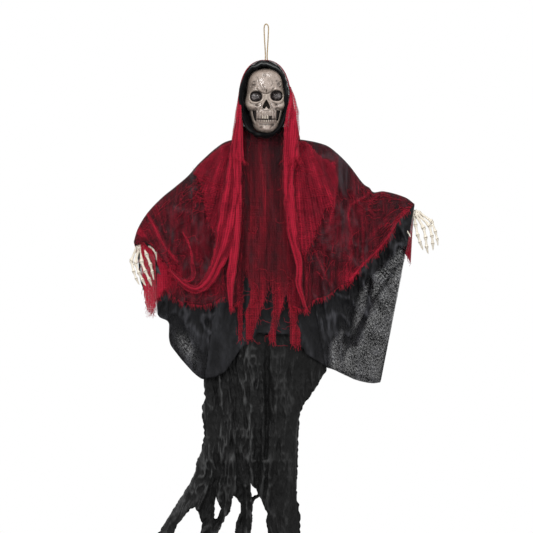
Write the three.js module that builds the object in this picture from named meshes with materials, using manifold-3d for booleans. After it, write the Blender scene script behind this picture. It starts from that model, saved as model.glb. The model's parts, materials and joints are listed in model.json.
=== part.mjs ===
// Hanging reaper ghost: a moulded skull and skeleton hands on bendable wire arms, dressed in black and red cloth.
// Millimetres, +Z up, the front faces -Y. The origin is the inside top of the hanging loop.
import * as THREE from 'three';
import { mergeVertices } from 'three/addons/utils/BufferGeometryUtils.js';
import Module from 'manifold-3d';

const wasm = await Module();
wasm.setup();

// Driving dimensions of the hanging loop.
const CORD_RADIUS = 1.6;
const HINGE_Z = -102;
const LUG_THICKNESS = 4;
const LUG_BORE = 3.4;
const LUG_RADIUS = 6.5;
const KNOT_RADIUS = 3.4;
const KNOT_CENTRE = [6.6, 0, -103.4];
const CROWN_HOLE = [7.2, 7.4];

// Driving dimensions of the skull. Heights in its profiles are measured up from the chin.
const SKULL_HEIGHT = 165;
const SKULL_TOP = -108;
const CHIN_Z = SKULL_TOP - SKULL_HEIGHT;
const PARTING_Y = -10;
const PARTING_GAP = 0.3;
const SKULL_BASE_HEIGHT = 44;
const SKULL_OUTLINE = [
  [0, 6], [6, 18], [27, 34], [56, 44.5], [66, 49], [78, 53], [88, 50.5], [100, 48.5],
  [120, 48], [135, 44.5], [150, 33], [160, 17], [165, 3],
];
const FACE_DEPTH = [
  [0, 30], [6, 46], [14, 52], [30, 55], [50, 56], [70, 54], [90, 52], [110, 58],
  [128, 57], [142, 49], [153, 36], [161, 20], [165, 6],
];
const BACK_DEPTH = [[44, 30], [60, 48], [85, 62], [110, 64], [135, 53], [150, 40], [160, 22], [165, 8]];
const SOCKET = { x: 25.6, height: 95, halfWidth: 15.5, halfHeight: 13.5, depth: 17 };
const NOSE = { top: 87, bottom: 64, halfWidth: 9.5, depth: 13 };
const TOOTH_WIDTH = 6.6;
const BITE_HEIGHT = 36.8;

// Driving dimensions of the wire frame.
const WIRE_RADIUS = 1.8;
const EYE_RADIUS = 4.2;
const EYE_WIRE = 1.3;
const FOAM_RADIUS = 10;
const FOAM_BORE = 4;
const SHOULDER_X = 100;
const SHOULDER_Z = -308;
const NECK_RADIUS = 6;
const LEFT_ARM = [[-100, -308], [-160, -364], [-220, -422], [-278, -480], [-300, -512], [-313, -540]];
const RIGHT_ARM = [[100, -308], [165, -337], [213, -384], [252, -434], [308, -450], [365, -463]];

// Driving dimensions of the cloth.
const CLOTH = 1.6;
const COLLAR_X = 47;
const SLEEVE_SEAM_X = 64;
const TUNIC_RADIUS = 12;
const CAPE_RADIUS = 18.5;
const CAPE_SPREAD = 26;
const FOLD_FADE = 120;

// Driving dimensions of the hood: a soft bag round the head, centred a little to the left.
const HOOD_CENTRE = [-4.5, -20, -187];
const HOOD_HALF_WIDTH = 63;
const HOOD_LENGTH = 88;
const HOOD_UP = 94;
const HOOD_DOWN = 99;
const HOOD_SQUARENESS = 2.25;
const HOOD_RIM_Y = -47;
const HOOD_BACK_Y = 66;
const VEIL_GAP = 3.4;
const VEIL_CLOTH = 1.4;

const { smoothstep, lerp } = THREE.MathUtils;

function finish(color, roughness, metalness = 0) {
  return new THREE.MeshStandardMaterial({ color, roughness, metalness });
}

const MATERIALS = {
  cord: finish(0xb59a72, 0.9),
  bone: finish(0xb0a08c, 0.35),
  eye: finish(0x2e2726, 0.15),
  ivory: finish(0xefe6d6, 0.5),
  wire: finish(0x8c8f92, 0.4, 0.9),
  foam: finish(0x3a3a3c, 0.95),
  dowel: finish(0xc9a877, 0.7),
  satin: finish(0x141414, 0.5),
  gauze: finish(0xa01c30, 0.9),
  maroon: finish(0x5e1622, 0.9),
  nonwoven: finish(0x1b1b1d, 0.7),
};

const ghost = new THREE.Group();

function addPiece(name, geometry, material) {
  const mesh = new THREE.Mesh(geometry, material);
  mesh.name = name;
  ghost.add(mesh);
}

// A smooth curve through [position, value] pairs, level beyond both ends.
function through(pairs) {
  const last = pairs.length - 1;
  const slope = (k) => {
    const before = pairs[Math.max(k - 1, 0)];
    const after = pairs[Math.min(k + 1, last)];
    return (after[1] - before[1]) / (after[0] - before[0]);
  };
  return (t) => {
    if (t <= pairs[0][0]) {
      return pairs[0][1];
    }
    const k = pairs.findIndex(([position]) => position >= t);
    if (k < 0) {
      return pairs[last][1];
    }
    const span = pairs[k][0] - pairs[k - 1][0];
    const s = (t - pairs[k - 1][0]) / span;
    const rise = s * s * (3 - 2 * s);
    const leave = s * (1 - s) * (1 - s) * span * slope(k - 1);
    const arrive = s * s * (s - 1) * span * slope(k);
    return lerp(pairs[k - 1][1], pairs[k][1], rise) + leave + arrive;
  };
}

// Joins equal vertices, drops faces without area and turns the body so that its faces point out.
function closedBody(geometry) {
  const bare = new THREE.BufferGeometry();
  bare.setAttribute('position', geometry.getAttribute('position').clone());
  bare.setIndex(geometry.index);
  const merged = mergeVertices(bare, 1e-3);
  const position = merged.getAttribute('position');
  const corners = [0, 1, 2].map(() => new THREE.Vector3());
  const faces = [];
  let volume = 0;
  for (let k = 0; k < merged.index.count; k += 3) {
    const face = [0, 1, 2].map((n) => merged.index.getX(k + n));
    if (new Set(face).size === 3) {
      corners.forEach((corner, n) => corner.fromBufferAttribute(position, face[n]));
      volume += corners[0].dot(corners[1].clone().cross(corners[2]));
      faces.push(...face);
    }
  }
  if (volume < 0) {
    faces.reverse();
  }
  merged.setIndex(faces);
  merged.computeVertexNormals();
  return merged;
}

function bodyFrom(positions, faces) {
  const geometry = new THREE.BufferGeometry();
  geometry.setAttribute('position', new THREE.Float32BufferAttribute(positions, 3));
  geometry.setIndex(faces);
  return closedBody(geometry);
}

function toSolid(geometry) {
  const body = closedBody(geometry);
  return new wasm.Manifold(new wasm.Mesh({
    numProp: 3,
    vertProperties: new Float32Array(body.getAttribute('position').array),
    triVerts: new Uint32Array(body.index.array),
  }));
}

function fromSolid(solid) {
  const mesh = solid.getMesh();
  return bodyFrom(Array.from(mesh.vertProperties), Array.from(mesh.triVerts));
}

// One closed sheet between two point functions of (u, v). skips(i, j) leaves a cell of the grid out.
function sheetBody({ columns, rows, outside, inside, skips = () => false, around = false }) {
  const positions = [];
  for (const point of [outside, inside]) {
    for (let j = 0; j <= rows; j += 1) {
      for (let i = 0; i <= columns; i += 1) {
        positions.push(...point(i / columns, j / rows));
      }
    }
  }
  const layer = (columns + 1) * (rows + 1);
  const out = (i, j) => j * (columns + 1) + i;
  const back = (i, j) => layer + out(i, j);
  const present = (i, j) => {
    const column = around ? (i + columns) % columns : i;
    return column >= 0 && column < columns && j >= 0 && j < rows && !skips(column, j);
  };
  const faces = [];
  const quad = (a, b, c, d) => faces.push(a, b, c, a, c, d);
  for (let j = 0; j < rows; j += 1) {
    for (let i = 0; i < columns; i += 1) {
      if (present(i, j)) {
        quad(out(i, j), out(i + 1, j), out(i + 1, j + 1), out(i, j + 1));
        quad(back(i, j + 1), back(i + 1, j + 1), back(i + 1, j), back(i, j));
        if (!present(i, j - 1)) {
          quad(back(i, j), back(i + 1, j), out(i + 1, j), out(i, j));
        }
        if (!present(i, j + 1)) {
          quad(out(i, j + 1), out(i + 1, j + 1), back(i + 1, j + 1), back(i, j + 1));
        }
        if (!present(i - 1, j)) {
          quad(out(i, j), out(i, j + 1), back(i, j + 1), back(i, j));
        }
        if (!present(i + 1, j)) {
          quad(back(i + 1, j), back(i + 1, j + 1), out(i + 1, j + 1), out(i + 1, j));
        }
      }
    }
  }
  return bodyFrom(positions, faces);
}

// A sheet whose two faces lie half the cloth's thickness before and behind place(u, v).
function hangingSheet({ columns, rows, place, skips, cloth = CLOTH }) {
  const shifted = (shift) => (u, v) => {
    const [x, y, z] = place(u, v);
    return [x, y + shift, z];
  };
  return sheetBody({ columns, rows, outside: shifted(-cloth / 2), inside: shifted(cloth / 2), skips });
}

function ringShape(radius, sides) {
  const corners = [];
  for (let k = 0; k < sides; k += 1) {
    const angle = (2 * Math.PI * k) / sides;
    corners.push(new THREE.Vector2(radius * Math.cos(angle), radius * Math.sin(angle)));
  }
  return corners;
}

function tube(path, radius, { sides = 8, steps = 12, bore = 0, boreSides = 6 } = {}) {
  const section = new THREE.Shape(ringShape(radius, sides));
  if (bore > 0) {
    section.holes.push(new THREE.Path(ringShape(bore, boreSides)));
  }
  return closedBody(new THREE.ExtrudeGeometry(section, { steps, extrudePath: path, bevelEnabled: false }));
}

function smoothPath(points) {
  return new THREE.CatmullRomCurve3(points.map((point) => new THREE.Vector3(...point)), false, 'centripetal');
}

function rod(from, to, radius, sides) {
  const start = new THREE.Vector3(...from);
  const axis = new THREE.Vector3(...to).sub(start);
  const geometry = new THREE.CylinderGeometry(radius, radius, axis.length(), sides);
  geometry.translate(0, axis.length() / 2, 0);
  geometry.applyQuaternion(new THREE.Quaternion().setFromUnitVectors(THREE.Object3D.DEFAULT_UP, axis.normalize()));
  return geometry.translate(...from);
}

// The hanging loop is one cord: up from the knot, over the top, down, through the skull's lug and back to the knot.
function hangingLoop() {
  const legs = 2.1;
  const bend = 5.4;
  const points = [
    [5.4, 0, -99.8], [3.4, 0, -93], [legs, 0, -80], [3, 0, -60], [4.4, 0, -36], [bend, 0, -14], [bend, 0, -8],
    [3.9, 0, -1.6], [0, 0, CORD_RADIUS], [-3.9, 0, -1.6], [-bend, 0, -8], [-bend, 0, -14], [-4.4, 0, -36],
    [-3, 0, -60], [-legs, 0, -80], [-2.9, 0, -90], [-4.9, 0, -96], [-4.2, 0, -100.2], [-2, 0, -102.3],
    [0.4, 0, -102.6], [2.5, 0, -102.4],
  ];
  return tube(smoothPath(points), CORD_RADIUS, { sides: 8, steps: 40 });
}

// The overhand knot that closes the loop: a ball with three turns of cord showing as ridges.
function loopKnot() {
  const knot = new THREE.SphereGeometry(KNOT_RADIUS, 12, 9);
  const position = knot.getAttribute('position');
  const ridge = 0.35;
  for (let k = 0; k < position.count; k += 1) {
    const point = new THREE.Vector3().fromBufferAttribute(position, k);
    const turn = Math.sin(2.2 * point.y + Math.atan2(point.z, point.x));
    point.multiplyScalar(1 - (ridge / KNOT_RADIUS) * (0.5 + 0.5 * turn) * (1 - Math.abs(point.y) / KNOT_RADIUS));
    position.setXYZ(k, point.x, point.y, point.z);
  }
  return closedBody(knot.translate(...KNOT_CENTRE));
}

// Soft hill of height 1 at a place of the face, and a flat-floored well with sloping sides.
function hill(x, h, centreX, centreH, widthX, widthH) {
  return Math.exp(-(((x - centreX) / widthX) ** 2) - ((h - centreH) / widthH) ** 2);
}

function well(x, h, centreX, centreH, halfX, halfH, floor = 0.55) {
  const reach = Math.hypot((x - centreX) / halfX, (h - centreH) / halfH);
  return 1 - smoothstep(reach, floor, 1);
}

// How far the moulded face stands out of its plain dome at x and at height h over the chin.
function faceRelief(x, h) {
  const side = Math.abs(x);
  const noseHalf = NOSE.halfWidth * Math.min(1, (NOSE.top - h) / (NOSE.top - NOSE.bottom - 6));
  const spine = 2.6 * hill(x, h, 0, NOSE.bottom, 1.6, 7);
  const nose = smoothstep(noseHalf - side - spine, 0, 2.6) * smoothstep(h, NOSE.bottom - 2, NOSE.bottom + 2);
  const toothRow = smoothstep(h, 28.5, 31) * (1 - smoothstep(h, 44.5, 47.5)) * (1 - smoothstep(side, 24, 29));
  const tooth = 0.35 + 0.65 * Math.abs(Math.cos((Math.PI * x) / TOOTH_WIDTH));
  const bite = 1 - smoothstep(Math.abs(h - BITE_HEIGHT), 0.6, 2.2);
  let relief = -SOCKET.depth * well(side, h, SOCKET.x, SOCKET.height, SOCKET.halfWidth, SOCKET.halfHeight);
  relief += 5.5 * hill(side, h, 25, 113, 19, 6.5);
  relief += 7.5 * hill(side, h, 43, 77, 13, 8);
  relief += 6.5 * hill(x, h, 0, 94, 6.5, 13);
  relief += 3.5 * hill(x, h, 0, 55, 24, 12);
  relief += 6 * hill(x, h, 0, 9, 17, 8);
  relief += 2.6 * toothRow * tooth;
  relief -= 3.2 * bite * toothRow;
  relief -= NOSE.depth * nose;
  relief -= 14 * well(side, h, 30.5, 45, 6.8, 18, 0.4);
  relief -= 4.5 * hill(x, h, 0, 23, 20, 4.5);
  relief -= 4 * hill(side, h, 45, 112, 9, 14);
  relief -= 3.5 * hill(x, h, 0, 108, 3.2, 6);
  return relief;
}

const skullOutline = through(SKULL_OUTLINE);
const faceDepth = through(FACE_DEPTH);
const backDepth = through(BACK_DEPTH);

// A half of the skull: a grid over the dome and a flat back in the parting plane.
function skullHalf({ columns, rows, bottom, depthAt, facing, wall }) {
  const positions = [];
  for (let j = 0; j <= rows; j += 1) {
    const h = lerp(bottom, SKULL_HEIGHT, j / rows);
    for (let i = 0; i <= columns; i += 1) {
      const angle = (i / columns - 0.5) * Math.PI;
      const x = skullOutline(h) * Math.sin(angle);
      const out = Math.cos(angle) ** 0.8;
      const depth = i % columns === 0 ? 0 : Math.max(1, depthAt(x, h, out));
      positions.push(x, wall + facing * depth, CHIN_Z + h);
    }
  }
  const at = (i, j) => j * (columns + 1) + i;
  const faces = [];
  const quad = (a, b, c, d) => faces.push(a, b, c, a, c, d);
  for (let j = 0; j < rows; j += 1) {
    for (let i = 0; i < columns; i += 1) {
      quad(at(i, j), at(i + 1, j), at(i + 1, j + 1), at(i, j + 1));
    }
    quad(at(0, j), at(0, j + 1), at(columns, j + 1), at(columns, j));
  }
  for (const [j, turned] of [[0, false], [rows, true]]) {
    for (let i = 1; i < columns; i += 1) {
      faces.push(...(turned ? [at(0, j), at(i, j), at(i + 1, j)] : [at(0, j), at(i + 1, j), at(i, j)]));
    }
  }
  return bodyFrom(positions, faces);
}

function hollow(reach) {
  return toSolid(new THREE.SphereGeometry(1, 12, 8).scale(43, reach, 50).translate(0, PARTING_Y, CHIN_Z + 107));
}

function jawHollow() {
  return toSolid(new THREE.SphereGeometry(1, 10, 8).scale(19, 38, 27).translate(0, PARTING_Y, CHIN_Z + 42));
}

const faceSolid = toSolid(skullHalf({
  columns: 30,
  rows: 38,
  bottom: 0,
  depthAt: (x, h, out) => faceDepth(h) * out + faceRelief(x, h) * out ** 0.4,
  facing: -1,
  wall: PARTING_Y - PARTING_GAP / 2,
}));

function skullFace() {
  return fromSolid(faceSolid.subtract(hollow(33)).subtract(jawHollow()));
}

function hangingLug() {
  const outline = new THREE.Shape();
  outline.moveTo(-LUG_RADIUS, -14);
  outline.lineTo(LUG_RADIUS, -14);
  outline.lineTo(LUG_RADIUS, 0);
  outline.absarc(0, 0, LUG_RADIUS, 0, Math.PI, false);
  outline.closePath();
  outline.holes.push(new THREE.Path(ringShape(LUG_BORE, 14)));
  const lug = new THREE.ExtrudeGeometry(outline, { depth: LUG_THICKNESS, bevelEnabled: false, curveSegments: 8 });
  lug.translate(0, 0, -LUG_THICKNESS / 2);
  lug.rotateX(Math.PI / 2).rotateZ(Math.PI / 2);
  return lug.translate(0, 0, HINGE_Z);
}

function skullBack() {
  const shell = toSolid(skullHalf({
    columns: 14,
    rows: 11,
    bottom: SKULL_BASE_HEIGHT,
    depthAt: (x, h, out) => backDepth(h) * out,
    facing: 1,
    wall: PARTING_Y + PARTING_GAP / 2,
  }));
  const neckHole = rod([0, 0, CHIN_Z], [0, 0, CHIN_Z + 70], NECK_RADIUS + 0.3, 12);
  const body = shell.subtract(hollow(57)).subtract(toSolid(neckHole));
  return fromSolid(body.add(toSolid(hangingLug())));
}

// A glossy dome bedded in a socket: its hidden side follows the socket's floor at a small gap.
function eyeDome(side) {
  const dome = new THREE.SphereGeometry(1, 12, 8).scale(10.5, 7, 9);
  dome.translate(side * SOCKET.x, PARTING_Y - 31.5, CHIN_Z + SOCKET.height);
  return fromSolid(toSolid(dome).subtract(faceSolid.translate([0, -0.5, 0])));
}

// Wire rings: one on the hinge line, which turns about Y, and one that hooks round it along the arm.
function hingeEye([x, z]) {
  return new THREE.TorusGeometry(EYE_RADIUS, EYE_WIRE, 5, 12).rotateX(Math.PI / 2).translate(x, 0, z);
}

function hookEye([x, z], [towardX, towardZ]) {
  const eye = new THREE.TorusGeometry(EYE_RADIUS, EYE_WIRE, 5, 12);
  const along = new THREE.Vector3(towardX, 0, towardZ).normalize();
  const normal = along.clone().cross(new THREE.Vector3(0, 1, 0));
  eye.applyQuaternion(new THREE.Quaternion().setFromUnitVectors(new THREE.Vector3(0, 0, 1), normal));
  return eye.translate(x + along.x * EYE_RADIUS, 0, z + along.z * EYE_RADIUS);
}

function neckPost() {
  const post = toSolid(rod([0, 0, SHOULDER_Z - 12], [0, 0, CHIN_Z + 62], NECK_RADIUS, 12));
  const hole = rod([-20, 0, SHOULDER_Z], [20, 0, SHOULDER_Z], WIRE_RADIUS + 0.4, 10);
  return fromSolid(post.subtract(toSolid(hole)));
}

function shoulderWire() {
  const reach = SHOULDER_X - EYE_RADIUS;
  const bar = toSolid(rod([-reach, 0, SHOULDER_Z], [reach, 0, SHOULDER_Z], WIRE_RADIUS, 8));
  const eyes = [-SHOULDER_X, SHOULDER_X].map((x) => toSolid(hingeEye([x, SHOULDER_Z])));
  return fromSolid(bar.add(eyes[0]).add(eyes[1]));
}

function shoulderFoam(side) {
  const path = new THREE.LineCurve3(
    new THREE.Vector3(side * (NECK_RADIUS + 3), 0, SHOULDER_Z),
    new THREE.Vector3(side * (SHOULDER_X - 12), 0, SHOULDER_Z),
  );
  return tube(path, FOAM_RADIUS, { sides: 12, steps: 1, bore: FOAM_BORE, boreSides: 8 });
}

function armPath(points) {
  return smoothPath(points.map(([x, z]) => [x, 0, z]));
}

// A stretch of an arm's centre line, from one share of its length to another.
function armStretch(points, from, to) {
  const path = armPath(points);
  const count = 9;
  const stations = [];
  for (let k = 0; k < count; k += 1) {
    stations.push(path.getPointAt(lerp(from, to, k / (count - 1))));
  }
  return new THREE.CatmullRomCurve3(stations, false, 'centripetal');
}

function armWire(points) {
  const path = armPath(points);
  const stretch = armStretch(points, 0.024, 0.976);
  const wrist = points[points.length - 1];
  const leave = path.getTangentAt(0);
  const arrive = path.getTangentAt(1);
  const wire = toSolid(tube(stretch, WIRE_RADIUS, { sides: 6, steps: 10 }));
  const shoulderHook = toSolid(hookEye(points[0], [leave.x, leave.z]));
  const wristHook = toSolid(hookEye(wrist, [-arrive.x, -arrive.z]));
  return fromSolid(wire.add(shoulderHook).add(wristHook));
}

function armFoam(points) {
  return tube(armStretch(points, 0.075, 0.94), FOAM_RADIUS, { sides: 8, steps: 8, bore: FOAM_BORE });
}

// One finger bone: a slim shaft between two knuckle ends.
function bone(from, to, radius) {
  const start = new THREE.Vector3(...from);
  const axis = new THREE.Vector3(...to).sub(start);
  const length = axis.length();
  const profile = [
    [0, -radius * 0.6], [radius, radius * 0.4], [radius * 0.58, length * 0.5],
    [radius * 0.95, length - radius * 0.4], [0, length + radius * 0.5],
  ];
  const geometry = new THREE.LatheGeometry(profile.map(([r, t]) => new THREE.Vector2(r, t)), 6);
  geometry.applyQuaternion(new THREE.Quaternion().setFromUnitVectors(THREE.Object3D.DEFAULT_UP, axis.normalize()));
  return geometry.translate(...from);
}

// The skeleton hand hangs from its wrist eye. Each digit is a chain of joints, thumb side towards +X.
const HAND_DIGITS = [
  { radius: 3.3, joints: [[6, -2, -9], [22, -7, -13], [39, -12, -32], [41, -15, -54]] },
  { radius: 3.2, joints: [[4, -2, -14], [14, -7, -36], [24, -13, -61], [28.2, -12, -78], [32.2, -8, -98]] },
  { radius: 3.3, joints: [[-1, -2, -16], [1.5, -8, -54], [10.7, -14, -77], [21, -13, -97], [26.7, -8, -113]] },
  { radius: 3.2, joints: [[-6, -2, -16], [-14, -7, -57], [-5, -13, -82], [3.2, -12, -98], [11.7, -8, -113]] },
  { radius: 2.9, joints: [[-10, -1, -14], [-25, -4, -51], [-18, -10, -78], [-12, -11, -95], [-5, -8, -110]] },
];

function skeletonHand() {
  const carpals = new THREE.SphereGeometry(1, 10, 8).scale(11.5, 5, 8.8).translate(-1.5, -1.2, -13);
  let hand = toSolid(carpals);
  hand = hand.add(toSolid(hingeEye([0, 0])));
  for (const { radius, joints } of HAND_DIGITS) {
    for (let k = 1; k < joints.length; k += 1) {
      const taper = 1 - 0.08 * (k - 1);
      hand = hand.add(toSolid(bone(joints[k - 1], joints[k], radius * taper)));
    }
  }
  return fromSolid(hand);
}

function placedHand([x, z], { mirrored, lean }) {
  const hand = skeletonHand();
  if (mirrored) {
    hand.scale(-1, 1, 1);
  }
  hand.rotateY(THREE.MathUtils.degToRad(lean));
  return closedBody(hand.translate(x, 0, z));
}

// The hood is a squarish oval bag lying along Y; grow moves its wall outwards.
function hoodPoint(angle, y, grow) {
  const along = (y - HOOD_CENTRE[1]) / (HOOD_LENGTH + grow);
  const size = Math.sqrt(Math.max(0, 1 - along * along));
  const up = Math.sin(angle) > 0 ? HOOD_UP : HOOD_DOWN;
  const cos = Math.cos(angle);
  const sin = Math.sin(angle);
  const square = (Math.abs(cos) ** HOOD_SQUARENESS + Math.abs(sin) ** HOOD_SQUARENESS) ** (-1 / HOOD_SQUARENESS);
  return [
    HOOD_CENTRE[0] + (HOOD_HALF_WIDTH + grow) * cos * square * size,
    y,
    HOOD_CENTRE[2] + (up + grow) * sin * square * size,
  ];
}

// The slot in the crown that the hanging loop comes up through, wide enough for the swing.
function crownHole() {
  return new THREE.CylinderGeometry(1, 1, 60, 16).rotateX(Math.PI / 2).scale(...CROWN_HOLE, 1).translate(0, 0, -95);
}

function hood() {
  const columns = 20;
  const rows = 9;
  const rim = 4.2;
  const wall = (grow) => (u, v) => {
    const y = lerp(HOOD_RIM_Y, HOOD_BACK_Y, v ** 0.8);
    const roll = 1 - smoothstep(v, 0.02, 0.2);
    return hoodPoint(-Math.PI / 2 + 2 * Math.PI * u, y, grow < 0 ? grow - rim * roll : grow);
  };
  const neck = (i, j) => j >= 2 && (i < 3 || i >= columns - 3);
  const bag = sheetBody({ columns, rows, outside: wall(0), inside: wall(-CLOTH), skips: neck, around: true });
  return fromSolid(toSolid(bag).subtract(toSolid(crownHole())));
}

// Vertical folds that deepen away from where the cloth is held. drop is the distance below that line.
function folds(x, drop, depth, width, phase = 0) {
  const grown = 1 - Math.exp(-Math.max(0, drop) / FOLD_FADE);
  const wave = Math.sin((2 * Math.PI * x) / width + phase + 0.004 * drop);
  return depth * grown * (0.75 * wave + 0.25 * Math.sin((2 * Math.PI * x) / (0.43 * width) + 2 * phase));
}

// Cloth draped over an arm: front hem, over the top, back hem. u runs from the collar to the wrist.
function drapeBody({ line, radius, frontHem, backHem, spread, fold, foldWidth, hemGap, columns, rows }) {
  const path = armPath(line);
  const front = hemCurve(frontHem);
  const back = hemCurve(backHem);
  const arcRows = 4;
  const sheetRows = (rows - arcRows) / 2;
  const wall = (grow) => (u, v) => {
    const row = Math.round(v * rows);
    const centre = path.getPointAt(u);
    const along = path.getTangentAt(u);
    const side = row < rows / 2 ? -1 : 1;
    const up = new THREE.Vector3(-along.z, 0, along.x).multiplyScalar(Math.sign(along.x));
    const arcRow = row - sheetRows;
    if (arcRow >= 0 && arcRow <= arcRows) {
      const angle = (arcRow / arcRows) * Math.PI;
      const reach = radius + grow;
      return [
        centre.x + up.x * Math.sin(angle) * reach,
        -Math.cos(angle) * reach,
        centre.z + up.z * Math.sin(angle) * reach,
      ];
    }
    const down = side < 0 ? 1 - row / sheetRows : (row - sheetRows - arcRows) / sheetRows;
    const [hemX, hemZ] = side < 0 ? front(u) : back(u);
    const x = lerp(centre.x, hemX, down);
    const z = lerp(centre.z, hemZ, down);
    const drop = centre.z - z;
    const opened = spread * (1 - Math.exp(-drop / 60));
    const gathered = (radius + spread - hemGap(u)) * smoothstep(down, 0.55, 1);
    const y = radius + grow + opened - gathered + folds(x, drop, fold, foldWidth, side);
    return [x, side * y, z];
  };
  return sheetBody({ columns, rows, outside: wall(CLOTH), inside: wall(0) });
}

// A hem given by a few [x, z] points, as a function of the share of cloth between its ends.
function hemCurve(points) {
  const last = points.length - 1;
  const x = through(points.map((point, k) => [k / last, point[0]]));
  const z = through(points.map((point, k) => [k / last, point[1]]));
  return (u) => [x(u), z(u)];
}

function sleeve(arm, hem) {
  const side = Math.sign(arm[0][0]);
  return drapeBody({
    line: [[side * SLEEVE_SEAM_X, SHOULDER_Z], ...arm],
    radius: TUNIC_RADIUS,
    frontHem: hem,
    backHem: hem,
    spread: 10,
    fold: 2.4,
    foldWidth: 70,
    hemGap: (u) => lerp(21, 4, smoothstep(u, 0.1, 0.7)),
    columns: 12,
    rows: 12,
  });
}

function cape(arm, frontHem, backHem) {
  const side = Math.sign(arm[0][0]);
  return drapeBody({
    line: [[side * COLLAR_X, SHOULDER_Z], [side * 78, SHOULDER_Z], ...arm],
    radius: CAPE_RADIUS,
    frontHem,
    backHem,
    spread: CAPE_SPREAD,
    fold: 5,
    foldWidth: 62,
    hemGap: () => CAPE_RADIUS + CAPE_SPREAD,
    columns: 13,
    rows: 14,
  });
}

const LEFT_SLEEVE_HEM = [[-152, -886], [-190, -858], [-232, -808], [-243, -756], [-276, -716]];
const RIGHT_SLEEVE_HEM = [[148, -856], [190, -876], [236, -890], [270, -896], [288, -890]];
const LEFT_CAPE_FRONT = [[-64, -716], [-120, -705], [-176, -702], [-222, -690], [-252, -668], [-262, -640]];
const LEFT_CAPE_BACK = [[-60, -700], [-120, -712], [-180, -690], [-235, -672], [-268, -690], [-294, -724]];
const RIGHT_CAPE_FRONT = [[70, -716], [128, -694], [206, -646], [268, -574], [312, -520], [350, -478]];
const RIGHT_CAPE_BACK = [[60, -700], [130, -706], [210, -660], [278, -596], [330, -530], [360, -590]];

// The tunic's front or back between the sleeve seams, from the shoulder seam down to its hem.
const TUNIC_HEM = [
  [-152, -886], [-100, -866], [-62, -812], [0, -772], [62, -800], [100, -820], [148, -856],
];

function tunicPanel(side) {
  const hem = hemCurve(TUNIC_HEM);
  const columns = 12;
  const rows = 10;
  const arcRows = 2;
  const neckHalf = 15;
  const wall = (grow) => (u, v) => {
    const row = Math.round(v * rows);
    const topX = lerp(-SLEEVE_SEAM_X + 0.5, SLEEVE_SEAM_X - 0.5, u);
    const reach = TUNIC_RADIUS + grow;
    if (row <= arcRows) {
      const angle = lerp(0.06, Math.PI / 2, row / arcRows);
      return [topX, side * Math.sin(angle) * reach, SHOULDER_Z + Math.cos(angle) * reach];
    }
    const down = (row - arcRows) / (rows - arcRows);
    const [hemX, hemZ] = hem(u);
    const x = lerp(topX, hemX, down);
    const z = lerp(SHOULDER_Z, hemZ, down);
    const drop = SHOULDER_Z - z;
    const y = reach + 10 * (1 - Math.exp(-drop / 60)) + folds(x, drop, 2.4, 70, side);
    return [x, side * y, z];
  };
  const neck = (i, j) => j < arcRows && Math.abs(lerp(-1, 1, (i + 0.5) / columns) * SLEEVE_SEAM_X) < neckHalf;
  return sheetBody({ columns, rows, outside: wall(CLOTH), inside: wall(0), skips: neck });
}

// The dark chest panel of gauze, from under the chin to five ragged strips. Drops are measured below Z = 0.
const CHEST_TOP = 290;
const CHEST_LEFT = [[290, -42], [400, -45], [440, -56], [470, -66], [560, -76], [700, -86], [806, -76]];
const CHEST_RIGHT = [[290, 43], [460, 50], [560, 66], [700, 88], [806, 84]];
const CHEST_STRIPS = [
  { from: 0, to: 2, low: 794 },
  { from: 3, to: 5, low: 790 },
  { from: 6, to: 9, low: 762 },
  { from: 10, to: 12, low: 796 },
  { from: 13, to: 16, low: 806 },
];

// A cell lies in a slit when it is below the slits' top row and in none of the strips.
function slitTest(strips, slitRow) {
  return (i, j) => j >= slitRow && strips.every(({ from, to }) => i < from || i >= to);
}

function stripAt(strips, column) {
  return strips.find(({ from, to }) => column >= from && column <= to);
}

function chestPanel() {
  const columns = 16;
  const rows = 11;
  const left = through(CHEST_LEFT);
  const right = through(CHEST_RIGHT);
  const place = (u, v) => {
    const { low } = stripAt(CHEST_STRIPS, Math.round(u * columns));
    const down = lerp(CHEST_TOP, low, v);
    const x = lerp(left(down), right(down), u);
    return [x, -33 + folds(x, down - CHEST_TOP, 3, 44, -1), -down];
  };
  return hangingSheet({ columns, rows, place, skips: slitTest(CHEST_STRIPS, 8) });
}

// The crinkled black skirt under the tunic: a front and a back that meet at the sides and end in strips.
const SKIRT_TOP = 640;
const SLIT_TOP = 1140;
const SKIRT_LEFT = [
  [640, -118], [890, -157], [931, -153], [979, -161], [1034, -154], [1075, -163], [1091, -175], [1140, -179],
];
const SKIRT_RIGHT = [[640, 116], [865, 150], [914, 122], [946, 96], [979, 84], [1016, 81], [1140, 78]];
const SKIRT_DEPTH = [[640, 13], [760, 11], [880, 12], [960, 24], [1040, 34], [1335, 30]];
const SKIRT_STRIPS = [
  { from: 0, to: 2, low: 1318, ends: [-300, -262] },
  { from: 3, to: 5, low: 1335, ends: [-176, -140] },
  { from: 6, to: 8, low: 1300, ends: [-150, -132] },
  { from: 9, to: 11, low: 1312, ends: [-84, -40] },
  { from: 12, to: 20, low: 1335, ends: [18, 86] },
];

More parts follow.
